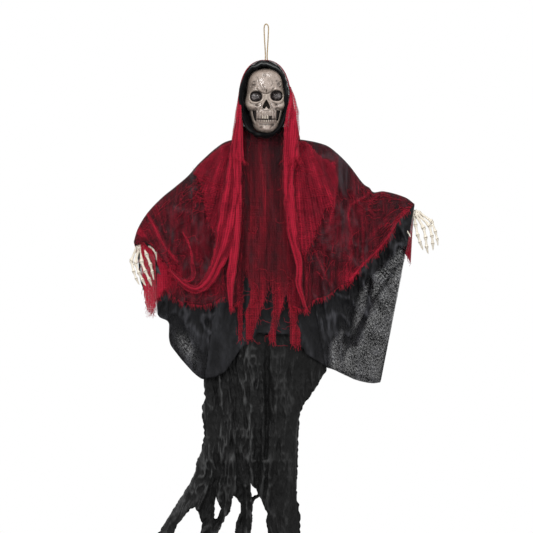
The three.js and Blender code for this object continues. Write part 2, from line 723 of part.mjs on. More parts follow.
function skirtPanel(side, rows, slitRow) {
  const columns = 20;
  const left = through(SKIRT_LEFT);
  const right = through(SKIRT_RIGHT);
  const depth = through(SKIRT_DEPTH);
  const place = (u, v) => {
    const column = Math.round(u * columns);
    const { from, to, low, ends } = stripAt(SKIRT_STRIPS, column);
    const down = lerp(SKIRT_TOP, low, v);
    const bodyX = lerp(left(down), right(down), u);
    const endX = lerp(ends[0], ends[1], (column - from) / (to - from));
    const x = lerp(bodyX, endX, smoothstep(down, SLIT_TOP - 20, low + 60));
    const round = Math.sqrt(Math.max(0, 1 - (2 * u - 1) ** 4));
    const fold = 2.2 + folds(x, down - SKIRT_TOP, 2.2, 38, side);
    return [x, side * (1.3 + (depth(down) + fold) * round), -down];
  };
  return hangingSheet({ columns, rows, place, skips: slitTest(SKIRT_STRIPS, slitRow) });
}

// The red veil: one cloth from the crown, down both sides of the face as tails and down the back.
const VEIL_COLUMNS = 27;
const VEIL_ROWS = 13;
const VEIL_DOME_ROWS = 5;
const VEIL_SHOULDER_ROW = 7;
const VEIL_SHOULDER = 284;
const VEIL_TURN = [[0, -113], [6, -98], [9, -74], [18, 74], [21, 98], [27, 113]];
const VEIL_SHOULDER_X = [[0, -58], [6, -90], [7.5, -93], [9, -86], [13.5, 0], [18, 88], [19.5, 92], [21, 88], [27, 43]];
const VEIL_SHOULDER_Y = [[0, -57], [6, -52], [7.5, 0], [9, 55], [13.5, 62], [18, 55], [19.5, 0], [21, -52], [27, -57]];
const LEFT_TAIL = {
  inner: [[284, -58], [351, -58.5], [464, -67], [579, -76], [714, -80]],
  outer: [
    [284, -90], [373, -181], [399, -166], [424, -154], [464, -146], [514, -131], [560, -129], [589, -134],
    [656, -158], [714, -184],
  ],
  low: [714, 690],
};
const RIGHT_TAIL = {
  inner: [[284, 43], [436, 43], [509, 49], [616, 78], [714, 84]],
  outer: [[284, 88], [341, 160], [381, 176], [421, 176], [464, 152], [561, 112], [714, 104]],
  low: [714, 700],
};
const BACK_LOW = 646;

// A point of the veil's dome by turn (degrees round from the back) and tilt (degrees down from the crown).
function domePoint(turn, tilt, grow) {
  const { degToRad } = THREE.MathUtils;
  const away = Math.sin(degToRad(tilt));
  const x = away * Math.sin(degToRad(turn));
  const y = away * Math.cos(degToRad(turn));
  const z = Math.cos(degToRad(tilt));
  const flat = Math.abs(x / (HOOD_HALF_WIDTH + grow)) ** HOOD_SQUARENESS
    + Math.abs(z / (HOOD_UP + grow)) ** HOOD_SQUARENESS;
  const size = 1 / Math.sqrt(flat ** (2 / HOOD_SQUARENESS) + (y / (HOOD_LENGTH + grow)) ** 2);
  return [HOOD_CENTRE[0] + x * size, HOOD_CENTRE[1] + y * size, HOOD_CENTRE[2] + z * size];
}

function veil() {
  const turn = through(VEIL_TURN);
  const shoulderX = through(VEIL_SHOULDER_X);
  const shoulderY = through(VEIL_SHOULDER_Y);
  const tailPlace = (tail, share, part) => {
    const down = lerp(VEIL_SHOULDER, lerp(tail.low[0], tail.low[1], share), part);
    const x = lerp(through(tail.inner)(down), through(tail.outer)(down), share);
    return [x, lerp(-57, -52, share * (1 - part)) - 3 * part, -down];
  };
  const place = (column, row) => {
    if (row <= VEIL_DOME_ROWS) {
      return domePoint(turn(column), (96 * row) / VEIL_DOME_ROWS, VEIL_GAP);
    }
    if (row <= VEIL_SHOULDER_ROW) {
      const share = (row - VEIL_DOME_ROWS) / (VEIL_SHOULDER_ROW - VEIL_DOME_ROWS);
      const [x, y, z] = domePoint(turn(column), 96, VEIL_GAP);
      return [
        lerp(x, shoulderX(column), share),
        lerp(y, shoulderY(column), share),
        lerp(z, -VEIL_SHOULDER, share),
      ];
    }
    const part = (row - VEIL_SHOULDER_ROW) / (VEIL_ROWS - VEIL_SHOULDER_ROW);
    if (column <= 6) {
      return tailPlace(LEFT_TAIL, column / 6, part);
    }
    if (column >= 21) {
      return tailPlace(RIGHT_TAIL, (27 - column) / 6, part);
    }
    const spread = 1 + 0.3 * part;
    return [
      shoulderX(column) * spread,
      shoulderY(column) + 3 * part,
      -lerp(VEIL_SHOULDER, BACK_LOW, part),
    ];
  };
  const wall = (grow) => (u, v) => {
    const column = u * VEIL_COLUMNS;
    const row = Math.round(v * VEIL_ROWS);
    const [x, y, z] = place(column, row);
    if (row <= VEIL_SHOULDER_ROW) {
      const [nearX, nearY] = [x - HOOD_CENTRE[0], y - HOOD_CENTRE[1]];
      const away = new THREE.Vector3(nearX, nearY, z - HOOD_CENTRE[2]);
      away.z *= row <= VEIL_DOME_ROWS ? 1 : 0;
      away.setLength(grow);
      return [x + away.x, y + away.y, z + away.z];
    }
    const front = column <= 6 || column >= 21;
    const fold = folds(x, -z - VEIL_SHOULDER, 3.6, 36, front ? -1 : 1);
    return [x, y + (front ? -1 : 1) * (grow + fold), z];
  };
  const arms = (i, j) => j >= VEIL_SHOULDER_ROW && ((i >= 6 && i < 9) || (i >= 18 && i < 21));
  const cloth = sheetBody({
    columns: VEIL_COLUMNS,
    rows: VEIL_ROWS,
    outside: wall(VEIL_CLOTH),
    inside: wall(0),
    skips: arms,
  });
  return fromSolid(toSolid(cloth).subtract(toSolid(crownHole())));
}

addPiece('hanging_loop', hangingLoop(), MATERIALS.cord);
addPiece('loop_knot', loopKnot(), MATERIALS.cord);
addPiece('skull_face', skullFace(), MATERIALS.bone);
addPiece('skull_back', skullBack(), MATERIALS.bone);
addPiece('left_eye', eyeDome(-1), MATERIALS.eye);
addPiece('right_eye', eyeDome(1), MATERIALS.eye);
addPiece('neck_post', neckPost(), MATERIALS.dowel);
addPiece('shoulder_wire', shoulderWire(), MATERIALS.wire);
addPiece('left_shoulder_foam', shoulderFoam(-1), MATERIALS.foam);
addPiece('right_shoulder_foam', shoulderFoam(1), MATERIALS.foam);
addPiece('left_arm_wire', armWire(LEFT_ARM), MATERIALS.wire);
addPiece('right_arm_wire', armWire(RIGHT_ARM), MATERIALS.wire);
addPiece('left_arm_foam', armFoam(LEFT_ARM), MATERIALS.foam);
addPiece('right_arm_foam', armFoam(RIGHT_ARM), MATERIALS.foam);
addPiece('left_hand', placedHand(LEFT_ARM.at(-1), { mirrored: false, lean: 0 }), MATERIALS.ivory);
addPiece('right_hand', placedHand(RIGHT_ARM.at(-1), { mirrored: true, lean: -33 }), MATERIALS.ivory);
addPiece('hood', hood(), MATERIALS.satin);
addPiece('tunic_front', tunicPanel(-1), MATERIALS.nonwoven);
addPiece('tunic_back', tunicPanel(1), MATERIALS.nonwoven);
addPiece('left_sleeve', sleeve(LEFT_ARM, LEFT_SLEEVE_HEM), MATERIALS.nonwoven);
addPiece('right_sleeve', sleeve(RIGHT_ARM, RIGHT_SLEEVE_HEM), MATERIALS.nonwoven);
addPiece('left_cape', cape(LEFT_ARM, LEFT_CAPE_FRONT, LEFT_CAPE_BACK), MATERIALS.gauze);
addPiece('right_cape', cape(RIGHT_ARM, RIGHT_CAPE_FRONT, RIGHT_CAPE_BACK), MATERIALS.gauze);
addPiece('chest_panel', chestPanel(), MATERIALS.maroon);
addPiece('skirt_front', skirtPanel(-1, 11, 8), MATERIALS.nonwoven);
addPiece('skirt_back', skirtPanel(1, 9, 7), MATERIALS.nonwoven);
addPiece('veil', veil(), MATERIALS.gauze);

export default ghost;
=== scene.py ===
"""Looks of a hanging reaper ghost: a glossy moulded skull, skeleton hands and layers of cloth.

Sizes are in millimetres until a mesh is made. The front faces -Y, and the origin is the top of the
hanging loop.
"""
import json
import logging
import math
from dataclasses import dataclass, field
from enum import Enum
from typing import Callable, Mapping, Sequence

import bpy
import numpy as np
from mathutils import Matrix, Vector

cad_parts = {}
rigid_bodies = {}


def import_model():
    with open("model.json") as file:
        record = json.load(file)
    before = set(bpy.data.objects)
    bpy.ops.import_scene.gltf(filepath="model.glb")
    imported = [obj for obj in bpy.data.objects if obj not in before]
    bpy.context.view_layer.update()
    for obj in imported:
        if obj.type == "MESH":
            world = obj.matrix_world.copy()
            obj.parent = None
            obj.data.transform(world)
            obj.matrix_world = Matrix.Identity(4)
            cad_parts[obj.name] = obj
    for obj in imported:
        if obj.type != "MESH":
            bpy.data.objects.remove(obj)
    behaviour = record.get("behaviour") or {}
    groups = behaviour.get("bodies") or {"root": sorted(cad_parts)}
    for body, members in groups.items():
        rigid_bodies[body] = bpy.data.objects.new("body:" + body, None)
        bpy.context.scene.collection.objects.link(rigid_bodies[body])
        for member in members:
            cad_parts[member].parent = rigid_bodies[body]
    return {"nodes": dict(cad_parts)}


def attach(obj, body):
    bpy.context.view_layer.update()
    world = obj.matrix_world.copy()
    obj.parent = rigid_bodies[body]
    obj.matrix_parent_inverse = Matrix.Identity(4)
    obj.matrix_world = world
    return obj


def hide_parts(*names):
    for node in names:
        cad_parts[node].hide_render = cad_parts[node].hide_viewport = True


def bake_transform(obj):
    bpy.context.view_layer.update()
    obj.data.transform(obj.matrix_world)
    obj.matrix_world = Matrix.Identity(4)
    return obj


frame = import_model()

LOG = logging.getLogger("reaper_ghost")
MM = 0.001
Array = np.ndarray
Pairs = Sequence[tuple[float, float]]
Place = tuple[float, float, float]
Piece = bpy.types.Object
Socket = bpy.types.NodeSocket
Material = bpy.types.Material
Settings = Mapping[str | int, object]
Links = Mapping[str | int, Socket]
Reads = Mapping[str | int, str]
Step = tuple[str, str, Settings, Reads]

# The cells of a noise's lattice along each side, and the share that a shader's noise mostly keeps within.
LATTICE = 128
NOISE_LOW, NOISE_HIGH = 0.3, 0.7
# How many metres one band of a wave texture takes at scale 1.
BAND_PERIOD = 0.31416
# The outputs that a recipe reads of a node, where it isn't the first one.
OUTPUTS = {"TexNoise": "Fac", "TexWave": "Fac", "Attribute": "Fac", "Mix": 2}
# The inputs of a colour mix: its share and its two colours.
SHARE, FIRST_COLOUR, SECOND_COLOUR = 0, 6, 7
# The narrowest strip that a sheet is cut from.
NARROWEST = 12.0
# The three corners of a loose thread, in radians, and a direction that no thread follows.
THREAD_TURNS = (0.0, 2.0944, 4.1888)
ASIDE = (0.31, 0.87, 0.38)
TINY = 1e-9


class Curve:
    """A smooth curve through (position, value) pairs, level beyond both ends."""

    def __init__(self, pairs: Pairs) -> None:
        """Keeps the pairs and the slope at each of them.

        Args:
            pairs: Positions in rising order, each with its value.
        """
        self.at, self.value = np.array(pairs, float).T
        index = np.arange(len(self.at))
        before, after = np.maximum(index - 1, 0), np.minimum(index + 1, len(index) - 1)
        self.slope = (self.value[after] - self.value[before]) / (self.at[after] - self.at[before])

    def __call__(self, position: Array | float) -> Array:
        """Returns the curve's value at each position.

        Args:
            position: Where to read the curve.

        Returns:
            The values there, in the position's shape.
        """
        t = np.clip(position, self.at[0], self.at[-1])
        k = np.clip(np.searchsorted(self.at, t), 1, len(self.at) - 1)
        span = self.at[k] - self.at[k - 1]
        s = (t - self.at[k - 1]) / span
        rise = s * s * (3 - 2 * s)
        bend = s * (1 - s) ** 2 * span * self.slope[k - 1] + s * s * (s - 1) * span * self.slope[k]
        return self.value[k - 1] * (1 - rise) + self.value[k] * rise + bend


class Line:
    """A smooth line through points, walked by the share of its length or by given shares."""

    def __init__(self, points: Sequence[Sequence[float]], shares: Sequence[float] | None = None) -> None:
        """Keeps one curve for each coordinate.

        Args:
            points: The points that the curve runs through.
            shares: Where each point lies along it, from 0 to 1; evenly spread when left out.
        """
        placed = np.array(points, float)
        steps = np.linalg.norm(np.diff(placed, axis=0), axis=1)
        share = np.concatenate([[0.0], np.cumsum(steps)]) / steps.sum() if shares is None else shares
        self.curves = [Curve(list(zip(share, column))) for column in placed.T]

    def __call__(self, share: Array | float) -> Array:
        """Returns the points at these shares, coordinates last."""
        return np.stack([curve(share) for curve in self.curves], axis=-1)


class Noise:
    """Repeatable smooth noise from -1 to 1 over a plane."""

    def __init__(self, seed: int) -> None:
        """Fills the lattice from the seed."""
        self.lattice = np.random.RandomState(seed).uniform(-1, 1, (LATTICE, LATTICE))

    def __call__(self, x: Array, y: Array) -> Array:
        """Returns the noise at x and y, whose unit is one cell of the lattice.

        Args:
            x: Places along the lattice's first side.
            y: Places along its second side.

        Returns:
            Soft values from about -1 to 1.
        """
        x, y = np.broadcast_arrays(np.asarray(x, float), np.asarray(y, float))
        i, j = np.floor(x).astype(int), np.floor(y).astype(int)
        s, t = smooth(x - i), smooth(y - j)
        i, j, k, m = i % LATTICE, j % LATTICE, (i + 1) % LATTICE, (j + 1) % LATTICE
        low = self.lattice[i, j] * (1 - s) + self.lattice[k, j] * s
        high = self.lattice[i, m] * (1 - s) + self.lattice[k, m] * s
        return low * (1 - t) + high * t

    def ridges(self, x: Array, y: Array) -> Array:
        """Returns sharp crests, 1 along lines and falling below 0 between them."""
        return 1 - np.abs(self(x, y)) * 3


def smooth(share: Array | float) -> Array:
    """Returns the smooth step of a share, held to 0 and 1 outside."""
    s = np.clip(share, 0, 1)
    return s * s * (3 - 2 * s)


def step(value: Array | float, low: float, high: float) -> Array:
    """Returns 0 below low, 1 above high and a smooth step between them."""
    return smooth((np.asarray(value, float) - low) / (high - low))


def mix(first: Array | float, second: Array | float, share: Array | float) -> Array:
    """Returns the blend of two values."""
    return first * (1 - share) + second * share


def bump(value: Array, at: float, width: float) -> Array:
    """Returns 1 at a value, falling to 0 on both sides over about this width."""
    return np.exp(-(((value - at) / width) ** 2))


def darkest(*layers: Array) -> Array:
    """Returns the largest of several layers at each point."""
    return np.maximum.reduce(np.broadcast_arrays(*layers))


def oval(x: Array, z: Array, half_width: float, half_height: float, power: float) -> Array:
    """Returns 1 on the rim of an oval that grows squarer with the power, and less inside it."""
    return (np.abs(x / half_width) ** power + np.abs(z / half_height) ** power) ** (1 / power)


def distance(x: Array, z: Array, line: Pairs) -> Array:
    """Returns how far each point lies from a line of straight stretches.

    Args:
        x: The points' x.
        z: The points' z.
        line: The line's corners, as (x, z).

    Returns:
        Each point's distance, in the line's unit.
    """
    nearest = np.full(np.shape(x), 1e9)
    for (x1, z1), (x2, z2) in zip(line, line[1:]):
        run, rise = x2 - x1, z2 - z1
        share = np.clip(((x - x1) * run + (z - z1) * rise) / (run * run + rise * rise), 0, 1)
        nearest = np.minimum(nearest, np.hypot(x - x1 - share * run, z - z1 - share * rise))
    return nearest


def near(x: Array, z: Array, line: Pairs, width: float) -> Array:
    """Returns 1 on a line, falling to 0 beside it over about this width."""
    return bump(distance(x, z, line), 0, width)


def inside(x: Array, z: Array, outline: Pairs) -> Array:
    """Returns which points lie inside a closed outline.

    Args:
        x: The points' x.
        z: The points' z.
        outline: The outline's corners, as (x, z).

    Returns:
        True for each point inside.
    """
    held = np.zeros(np.shape(x), bool)
    for (x1, z1), (x2, z2) in zip(outline, [*outline[1:], outline[0]]):
        if z1 != z2:
            held ^= ((z1 > z) != (z2 > z)) & (x < (x2 - x1) * (z - z1) / (z2 - z1) + x1)
    return held


def deselect() -> None:
    """Leaves object mode with nothing selected."""
    if bpy.context.object and bpy.context.object.mode != "OBJECT":
        bpy.ops.object.mode_set(mode="OBJECT")
    bpy.ops.object.select_all(action="DESELECT")


def pick(piece: Piece) -> None:
    """Selects one object alone and makes it active.

    Args:
        piece: The object to select.
    """
    deselect()
    piece.select_set(True)
    bpy.context.view_layer.objects.active = piece


def settle(piece: Piece) -> Piece:
    """Applies an object's place, turn and size to its mesh.

    Args:
        piece: The object, placed and turned as it should stay.

    Returns:
        The same object.
    """
    pick(piece)
    bpy.ops.object.transform_apply(location=True, rotation=True, scale=True)
    return piece


def new_mesh(name: str, points: Array, faces: Sequence[Sequence[int]]) -> Piece:
    """Makes an object from points in millimetres.

    Args:
        name: The object's name.
        points: Its vertices, one row each.
        faces: Vertex indices of each face.

    Returns:
        The new object, linked to the scene.
    """
    mesh = bpy.data.meshes.new(name)
    mesh.from_pydata((np.asarray(points, float) * MM).tolist(), [], faces)
    piece = bpy.data.objects.new(name, mesh)
    bpy.context.scene.collection.objects.link(piece)
    return piece


def add_attribute(piece: Piece, name: str, values: Array) -> None:
    """Stores one number for each vertex."""
    attribute = piece.data.attributes.get(name) or piece.data.attributes.new(name, "FLOAT", "POINT")
    attribute.data.foreach_set("value", np.asarray(values, np.float32).ravel())


def apply_modifier(piece: Piece, kind: str, **settings: object) -> None:
    """Adds a modifier with its settings and applies it.

    Args:
        piece: The object to change.
        kind: The modifier's type in Blender.
        settings: Its properties by name.
    """
    pick(piece)
    modifier = piece.modifiers.new(kind.title(), kind)
    for key, value in settings.items():
        setattr(modifier, key, value)
    bpy.ops.object.modifier_apply(modifier=modifier.name)


def shade_smooth(piece: Piece) -> None:
    """Shades every face smooth."""
    piece.data.polygons.foreach_set("use_smooth", np.ones(len(piece.data.polygons), bool))
    piece.data.update()


def outward(piece: Piece) -> None:
    """Merges doubled vertices and turns every face outwards.

    Args:
        piece: The object to mend.
    """
    pick(piece)
    bpy.ops.object.mode_set(mode="EDIT")
    bpy.ops.mesh.select_all(action="SELECT")
    bpy.ops.mesh.remove_doubles(threshold=0.02 * MM)
    bpy.ops.mesh.normals_make_consistent(inside=False)
    bpy.ops.object.mode_set(mode="OBJECT")


def joined(pieces: Sequence[Piece], name: str) -> Piece:
    """Joins several objects into the first and renames it.

    Args:
        pieces: The objects to join.
        name: The new object's name.

    Returns:
        The joined object.
    """
    deselect()
    for piece in pieces:
        piece.select_set(True)
    bpy.context.view_layer.objects.active = pieces[0]
    bpy.ops.object.join()
    pieces[0].name = name
    return pieces[0]


def vertex_vectors(piece: Piece, key: str) -> Array:
    """Reads one vector of each vertex: co for its place in metres, or normal.

    Args:
        piece: The object whose mesh is read.
        key: The vector's name.

    Returns:
        The vectors, one row each.
    """
    flat = np.zeros(len(piece.data.vertices) * 3)
    piece.data.vertices.foreach_get(key, flat)
    return flat.reshape(-1, 3)


def vertex_numbers(piece: Piece, name: str) -> Array:
    """Reads the number that each vertex carries under a name.

    Args:
        piece: The object whose mesh is read.
        name: The number's name.

    Returns:
        The numbers, one for each vertex.
    """
    carried = np.zeros(len(piece.data.vertices), np.float32)
    piece.data.attributes[name].data.foreach_get("value", carried)
    return carried


def vertex_places(piece: Piece) -> Array:
    """Returns the vertices of a mesh in millimetres, one row each."""
    return vertex_vectors(piece, "co") / MM


def hollows(piece: Piece, rounds: int, depth: float) -> Array:
    """Measures how hollow the surface is at each vertex.

    Args:
        piece: The mesh to measure.
        rounds: How many times its vertices are averaged with their neighbours.
        depth: The hollow's depth in millimetres that counts as full.

    Returns:
        A share from 0, flat or raised, to 1, deep.
    """
    mesh = piece.data
    places = vertex_places(piece)
    count = len(places)
    edges = np.zeros(len(mesh.edges) * 2, int)
    mesh.edges.foreach_get("vertices", edges)
    first, second = edges.reshape(-1, 2).T
    share = np.maximum(np.bincount(first, minlength=count) + np.bincount(second, minlength=count), 1)
    eased = places.copy()
    for _ in range(rounds):
        total = np.stack([
            np.bincount(first, eased[second, axis], count) + np.bincount(second, eased[first, axis], count)
            for axis in range(3)
        ], axis=-1)
        eased = total / share[:, None]
    sunk = ((eased - places) * vertex_vectors(piece, "normal")).sum(axis=1)
    return np.clip(sunk / depth, 0, 1)


def linear(colour: str) -> tuple[float, float, float, float]:
    """Turns an sRGB hex colour into linear red, green, blue and full alpha.

    Args:
        colour: The colour, such as "#8A2B33".

    Returns:
        The four numbers.
    """
    parts = [int(colour[k:k + 2], 16) / 255 for k in (1, 3, 5)]
    red, green, blue = (p / 12.92 if p <= 0.04045 else ((p + 0.055) / 1.055) ** 2.4 for p in parts)
    return red, green, blue, 1.0


def per_metre(size_mm: float) -> float:
    """Returns the scale of a noise whose grain is this many millimetres."""
    return 1 / (size_mm * MM)


def grain(size_mm: float, detail: float = 2.0, rough: float = 0.5) -> Settings:
    """Returns the settings of a noise whose grain has this real size."""
    return {"Scale": per_metre(size_mm), "Detail": detail, "Roughness": rough}


def bands(axis: str, spacing_mm: float) -> Settings:
    """Returns the settings of a wave with one slightly crooked band for each thread of the cut cloth."""
    size = {"bands_direction": axis, "Scale": BAND_PERIOD * per_metre(spacing_mm)}
    return {**size, "Distortion": 2.0, "Detail": 2.0, "Detail Scale": 0.35}


def span(low: float = NOISE_LOW, high: float = NOISE_HIGH, start: float = 0.0, end: float = 1.0) -> Settings:
    """Returns the settings that move low..high, which is what a noise fills, to start..end."""
    return {"From Min": low, "From Max": high, "To Min": start, "To Max": end}


def toward(colour: str) -> Settings:
    """Returns the settings of a mix whose second colour is this sRGB one."""
    return {"data_type": "RGBA", SECOND_COLOUR: linear(colour)}


def raised(depth_mm: float) -> Settings:
    """Returns the settings of a relief that is this many millimetres deep."""
    return {"Strength": 1.0, "Distance": depth_mm * MM}


def set_stops(ramp: bpy.types.ColorRamp, stops: Sequence[tuple[float, str]]) -> None:
    """Gives a ramp its stops, each a position and an sRGB colour.

    Args:
        ramp: The ramp, with its two first stops.
        stops: Two or more stops in rising order.
    """
    ramp.elements[0].position, ramp.elements[1].position = stops[0][0], stops[-1][0]
    for at, _ in stops[1:-1]:
        ramp.elements.new(at)
    for element, (_, colour) in zip(ramp.elements, stops):
        element.color = linear(colour)


def add_node(
    tree: bpy.types.NodeTree,
    kind: str,
    values: Settings | None = None,
    links: Links | None = None,
) -> bpy.types.Node:
    """Adds a node with its settings and links.

    Args:
        tree: The material's or world's node tree.
        kind: The node's type, without its ShaderNode prefix.
        values: Properties by name, socket values by socket name or number, or a ramp's stops.
        links: Sockets of other nodes to join to this node's inputs.

    Returns:
        The new node.
    """
    node = tree.nodes.new("ShaderNode" + kind)
    for key, value in (values or {}).items():
        if key == "stops":
            set_stops(node.color_ramp, value)
        elif isinstance(key, str) and hasattr(node, key):
            setattr(node, key, value)
        else:
            node.inputs[key].default_value = value
    for key, socket in (links or {}).items():
        tree.links.new(socket, node.inputs[key])
    return node


class Recipe:
    """The node tree of one material, whose outputs are known by name."""

    def __init__(self, name: str) -> None:
        """Starts an empty material with its output and its two sets of coordinates.

        Args:
            name: The material's name.
        """
        self.material = bpy.data.materials.new(name)
        self.material.use_nodes = True
        self.tree = self.material.node_tree
        self.tree.nodes.clear()
        self.output = add_node(self.tree, "OutputMaterial")
        self.named = {
            "place": add_node(self.tree, "TexCoord").outputs["Object"],
            "cut": add_node(self.tree, "UVMap", {"uv_map": "cut"}).outputs["UV"],
        }

    def lay(self, *steps: Step) -> None:
        """Adds nodes in order and keeps the output of each under its name.

        Args:
            steps: For each node its name, its kind, its settings and the names that it reads.
        """
        for name, kind, values, reads in steps:
            links = {key: self.named[read] for key, read in reads.items()}
            self.named[name] = add_node(self.tree, kind, values, links).outputs[OUTPUTS.get(kind, 0)]

    def finish(self, values: Settings, reads: Reads) -> Material:
        """Closes the material with its surface shader and returns it.

        Args:
            values: Fixed inputs of the shader, by name.
            reads: Inputs that a node drives, with the name of its output.

        Returns:
            The finished material.
        """
        links = {key: self.named[read] for key, read in reads.items()}
        shader = add_node(self.tree, "BsdfPrincipled", values, links)
        self.tree.links.new(shader.outputs[0], self.output.inputs["Surface"])
        return self.material


# From a share called amount: the alpha of one face of a sheet, whose two faces together cover that share.
COVER: Sequence[Step] = (
    ("held", "MapRange", span(0.0, 1.0), {"Value": "amount"}),
    ("open", "Math", {"operation": "SUBTRACT", 0: 1.0}, {1: "held"}),
    ("open face", "Math", {"operation": "POWER", 1: 0.5}, {0: "open"}),
    ("alpha", "Math", {"operation": "SUBTRACT", 0: 1.0}, {1: "open face"}),
)


@dataclass(frozen=True)
class Gauze:
    """Cheesecloth: a loose plain weave of dyed cotton, see-through where it lies in one layer."""

    name: str
    thin: str
    dense: str
    crest: str
    # Real threads lie about 1.5 mm apart; they are drawn at 4.2 mm so that the weave shows.
    spacing_mm: float = 4.2
    gap_mm: float = 7.0

    def material(self) -> Material:
        """Weaves the two thread sets, opens gaps between them and closes them where the cloth is gathered.

        Returns:
            The new material.
        """
        recipe = Recipe(self.name)
        gaps = grain(self.gap_mm, 3.0, 0.65)
        recipe.lay(
            ("gathered", "Attribute", {"attribute_name": "gather"}, {}),
            ("warp", "TexWave", bands("X", self.spacing_mm), {"Vector": "cut"}),
            ("weft", "TexWave", bands("Y", self.spacing_mm), {"Vector": "cut"}),
            ("weave", "Math", {"operation": "MAXIMUM"}, {0: "warp", 1: "weft"}),
            ("long cut", "Mapping", {"Scale": (1.0, 0.09, 1.0)}, {"Vector": "cut"}),
            ("wide cut", "Mapping", {"Scale": (0.15, 1.0, 1.0)}, {"Vector": "cut"}),
            ("drawn", "TexNoise", gaps, {"Vector": "long cut"}),
            ("across", "TexNoise", gaps, {"Vector": "wide cut"}),
            ("patches", "TexNoise", grain(32.0), {"Vector": "cut"}),
            ("drawn part", "MapRange", span(start=-0.15, end=0.15), {"Value": "drawn"}),
            ("across part", "MapRange", span(start=-0.06, end=0.06), {"Value": "across"}),
            ("patchy part", "MapRange", span(start=-0.04, end=0.04), {"Value": "patches"}),
            ("pulled", "Math", {"operation": "ADD"}, {0: "drawn part", 1: "across part"}),
            ("uneven", "Math", {"operation": "ADD"}, {0: "pulled", 1: "patchy part"}),
            ("woven part", "MapRange", span(0.35, 1.0, -0.3, 0.24), {"Value": "weave"}),
            ("pattern", "Math", {"operation": "ADD"}, {0: "woven part", 1: "uneven"}),
            ("shade", "Math", {"operation": "ADD"}, {0: "gathered", 1: "uneven"}),
            ("amount", "Math", {"operation": "ADD"}, {0: "gathered", 1: "pattern"}),
            *COVER,
            ("colour", "ValToRGB", {"stops": [(0.3, self.thin), (0.62, self.dense), (0.95, self.crest)]},
             {"Fac": "shade"}),
            ("relief", "Bump", raised(0.5), {"Height": "weave"}),
        )
        return recipe.finish(
            {"Roughness": 0.9, "Sheen Weight": 0.06, "Sheen Roughness": 0.5, "Specular IOR Level": 0.08},
            {"Base Color": "colour", "Alpha": "alpha", "Normal": "relief"},
        )


@dataclass(frozen=True)
class CottonThread:
    """Loose cotton threads pulled out of the gauze: matt, a little uneven in dye."""

    name: str
    dark: str
    light: str

    def material(self) -> Material:
        """Varies the dye from thread to thread.

        Returns:
            The new material.
        """
        recipe = Recipe(self.name)
        recipe.lay(
            ("dye", "TexNoise", grain(8.0, 3.0), {"Vector": "place"}),
            ("shade", "MapRange", span(), {"Value": "dye"}),
            ("colour", "ValToRGB", {"stops": [(0.0, self.dark), (1.0, self.light)]}, {"Fac": "shade"}),
            ("fuzz", "TexNoise", grain(0.8), {"Vector": "place"}),
            ("relief", "Bump", raised(0.2), {"Height": "fuzz"}),
        )
        return recipe.finish(
            {"Roughness": 0.9, "Specular IOR Level": 0.15}, {"Base Color": "colour", "Normal": "relief"},
        )


@dataclass(frozen=True)
class Nonwoven:
    """Spunbonded polypropylene: fine pressed fibres, black, clouded where light comes through one layer."""

    name: str
    dark: str
    light: str
    # The colour that the ridges are lightened towards: painted sheen.
    ridge_sheen: str
    crease_mm: float = 14.0

    def material(self) -> Material:
        """Mottles the fibres, lets light through where the cloth is thin, and paints shade in the creases and
        sheen on the ridges.

        Returns:
            The new material.
        """
        recipe = Recipe(self.name)
        recipe.lay(
            ("gathered", "Attribute", {"attribute_name": "gather"}, {}),
            ("crest", "Attribute", {"attribute_name": "crest"}, {}),
            ("fibres", "TexNoise", grain(5.0, 4.0, 0.65), {"Vector": "cut"}),
            ("clouds", "TexNoise", grain(34.0, 3.0), {"Vector": "cut"}),
            ("long cut", "Mapping", {"Scale": (1.0, 0.35, 1.0)}, {"Vector": "cut"}),
            ("creases", "TexNoise", grain(self.crease_mm, 3.0, 0.6), {"Vector": "long cut"}),
            ("fibre part", "MapRange", span(start=-1.5, end=1.5), {"Value": "fibres"}),
            ("cloud part", "MapRange", span(start=-0.35, end=0.35), {"Value": "clouds"}),
            ("mottle", "Math", {"operation": "ADD"}, {0: "fibre part", 1: "cloud part"}),
            ("thinness", "Math", {"operation": "SUBTRACT", 0: 1.0}, {1: "gathered"}),
            ("clouded", "Math", {"operation": "MULTIPLY"}, {0: "mottle", 1: "thinness"}),
            ("amount", "Math", {"operation": "ADD"}, {0: "gathered", 1: "clouded"}),
            *COVER,
            # Painted shade: the colour darkens where the crease noise is low, in the valleys of the creases
            # that the relief raises.
            ("fibre shade", "MapRange", span(0.3, 0.72), {"Value": "fibres"}),
            ("crease shade", "MapRange", span(0.35, 0.7), {"Value": "creases"}),
            ("shade", "Math", {"operation": "MULTIPLY"}, {0: "fibre shade", 1: "crease shade"}),
            ("base", "ValToRGB", {"stops": [(0.0, self.dark), (1.0, self.light)]}, {"Fac": "shade"}),
            # Painted sheen: the ridges that the vertex number crest marks are lightened towards the sheen
            # colour, broken up by the creases.
            ("broken", "MapRange", span(0.34, 0.66, 0.25, 1.4), {"Value": "creases"}),
            ("worn", "Math", {"operation": "MULTIPLY"}, {0: "crest", 1: "broken"}),
            ("ridge_sheen", "MapRange", span(0.0, 1.0), {"Value": "worn"}),
            ("colour", "Mix", toward(self.ridge_sheen), {SHARE: "ridge_sheen", FIRST_COLOUR: "base"}),
            ("fine relief", "Bump", raised(0.25), {"Height": "fibres"}),
            ("crease height", "MapRange", span(), {"Value": "creases"}),
            ("relief", "Bump", raised(2.2), {"Height": "crease height", "Normal": "fine relief"}),
        )
        return recipe.finish(
            {"Roughness": 0.55, "Sheen Weight": 0.03, "Sheen Roughness": 0.4, "Specular IOR Level": 0.12},
            {"Base Color": "colour", "Alpha": "alpha", "Normal": "relief"},
        )


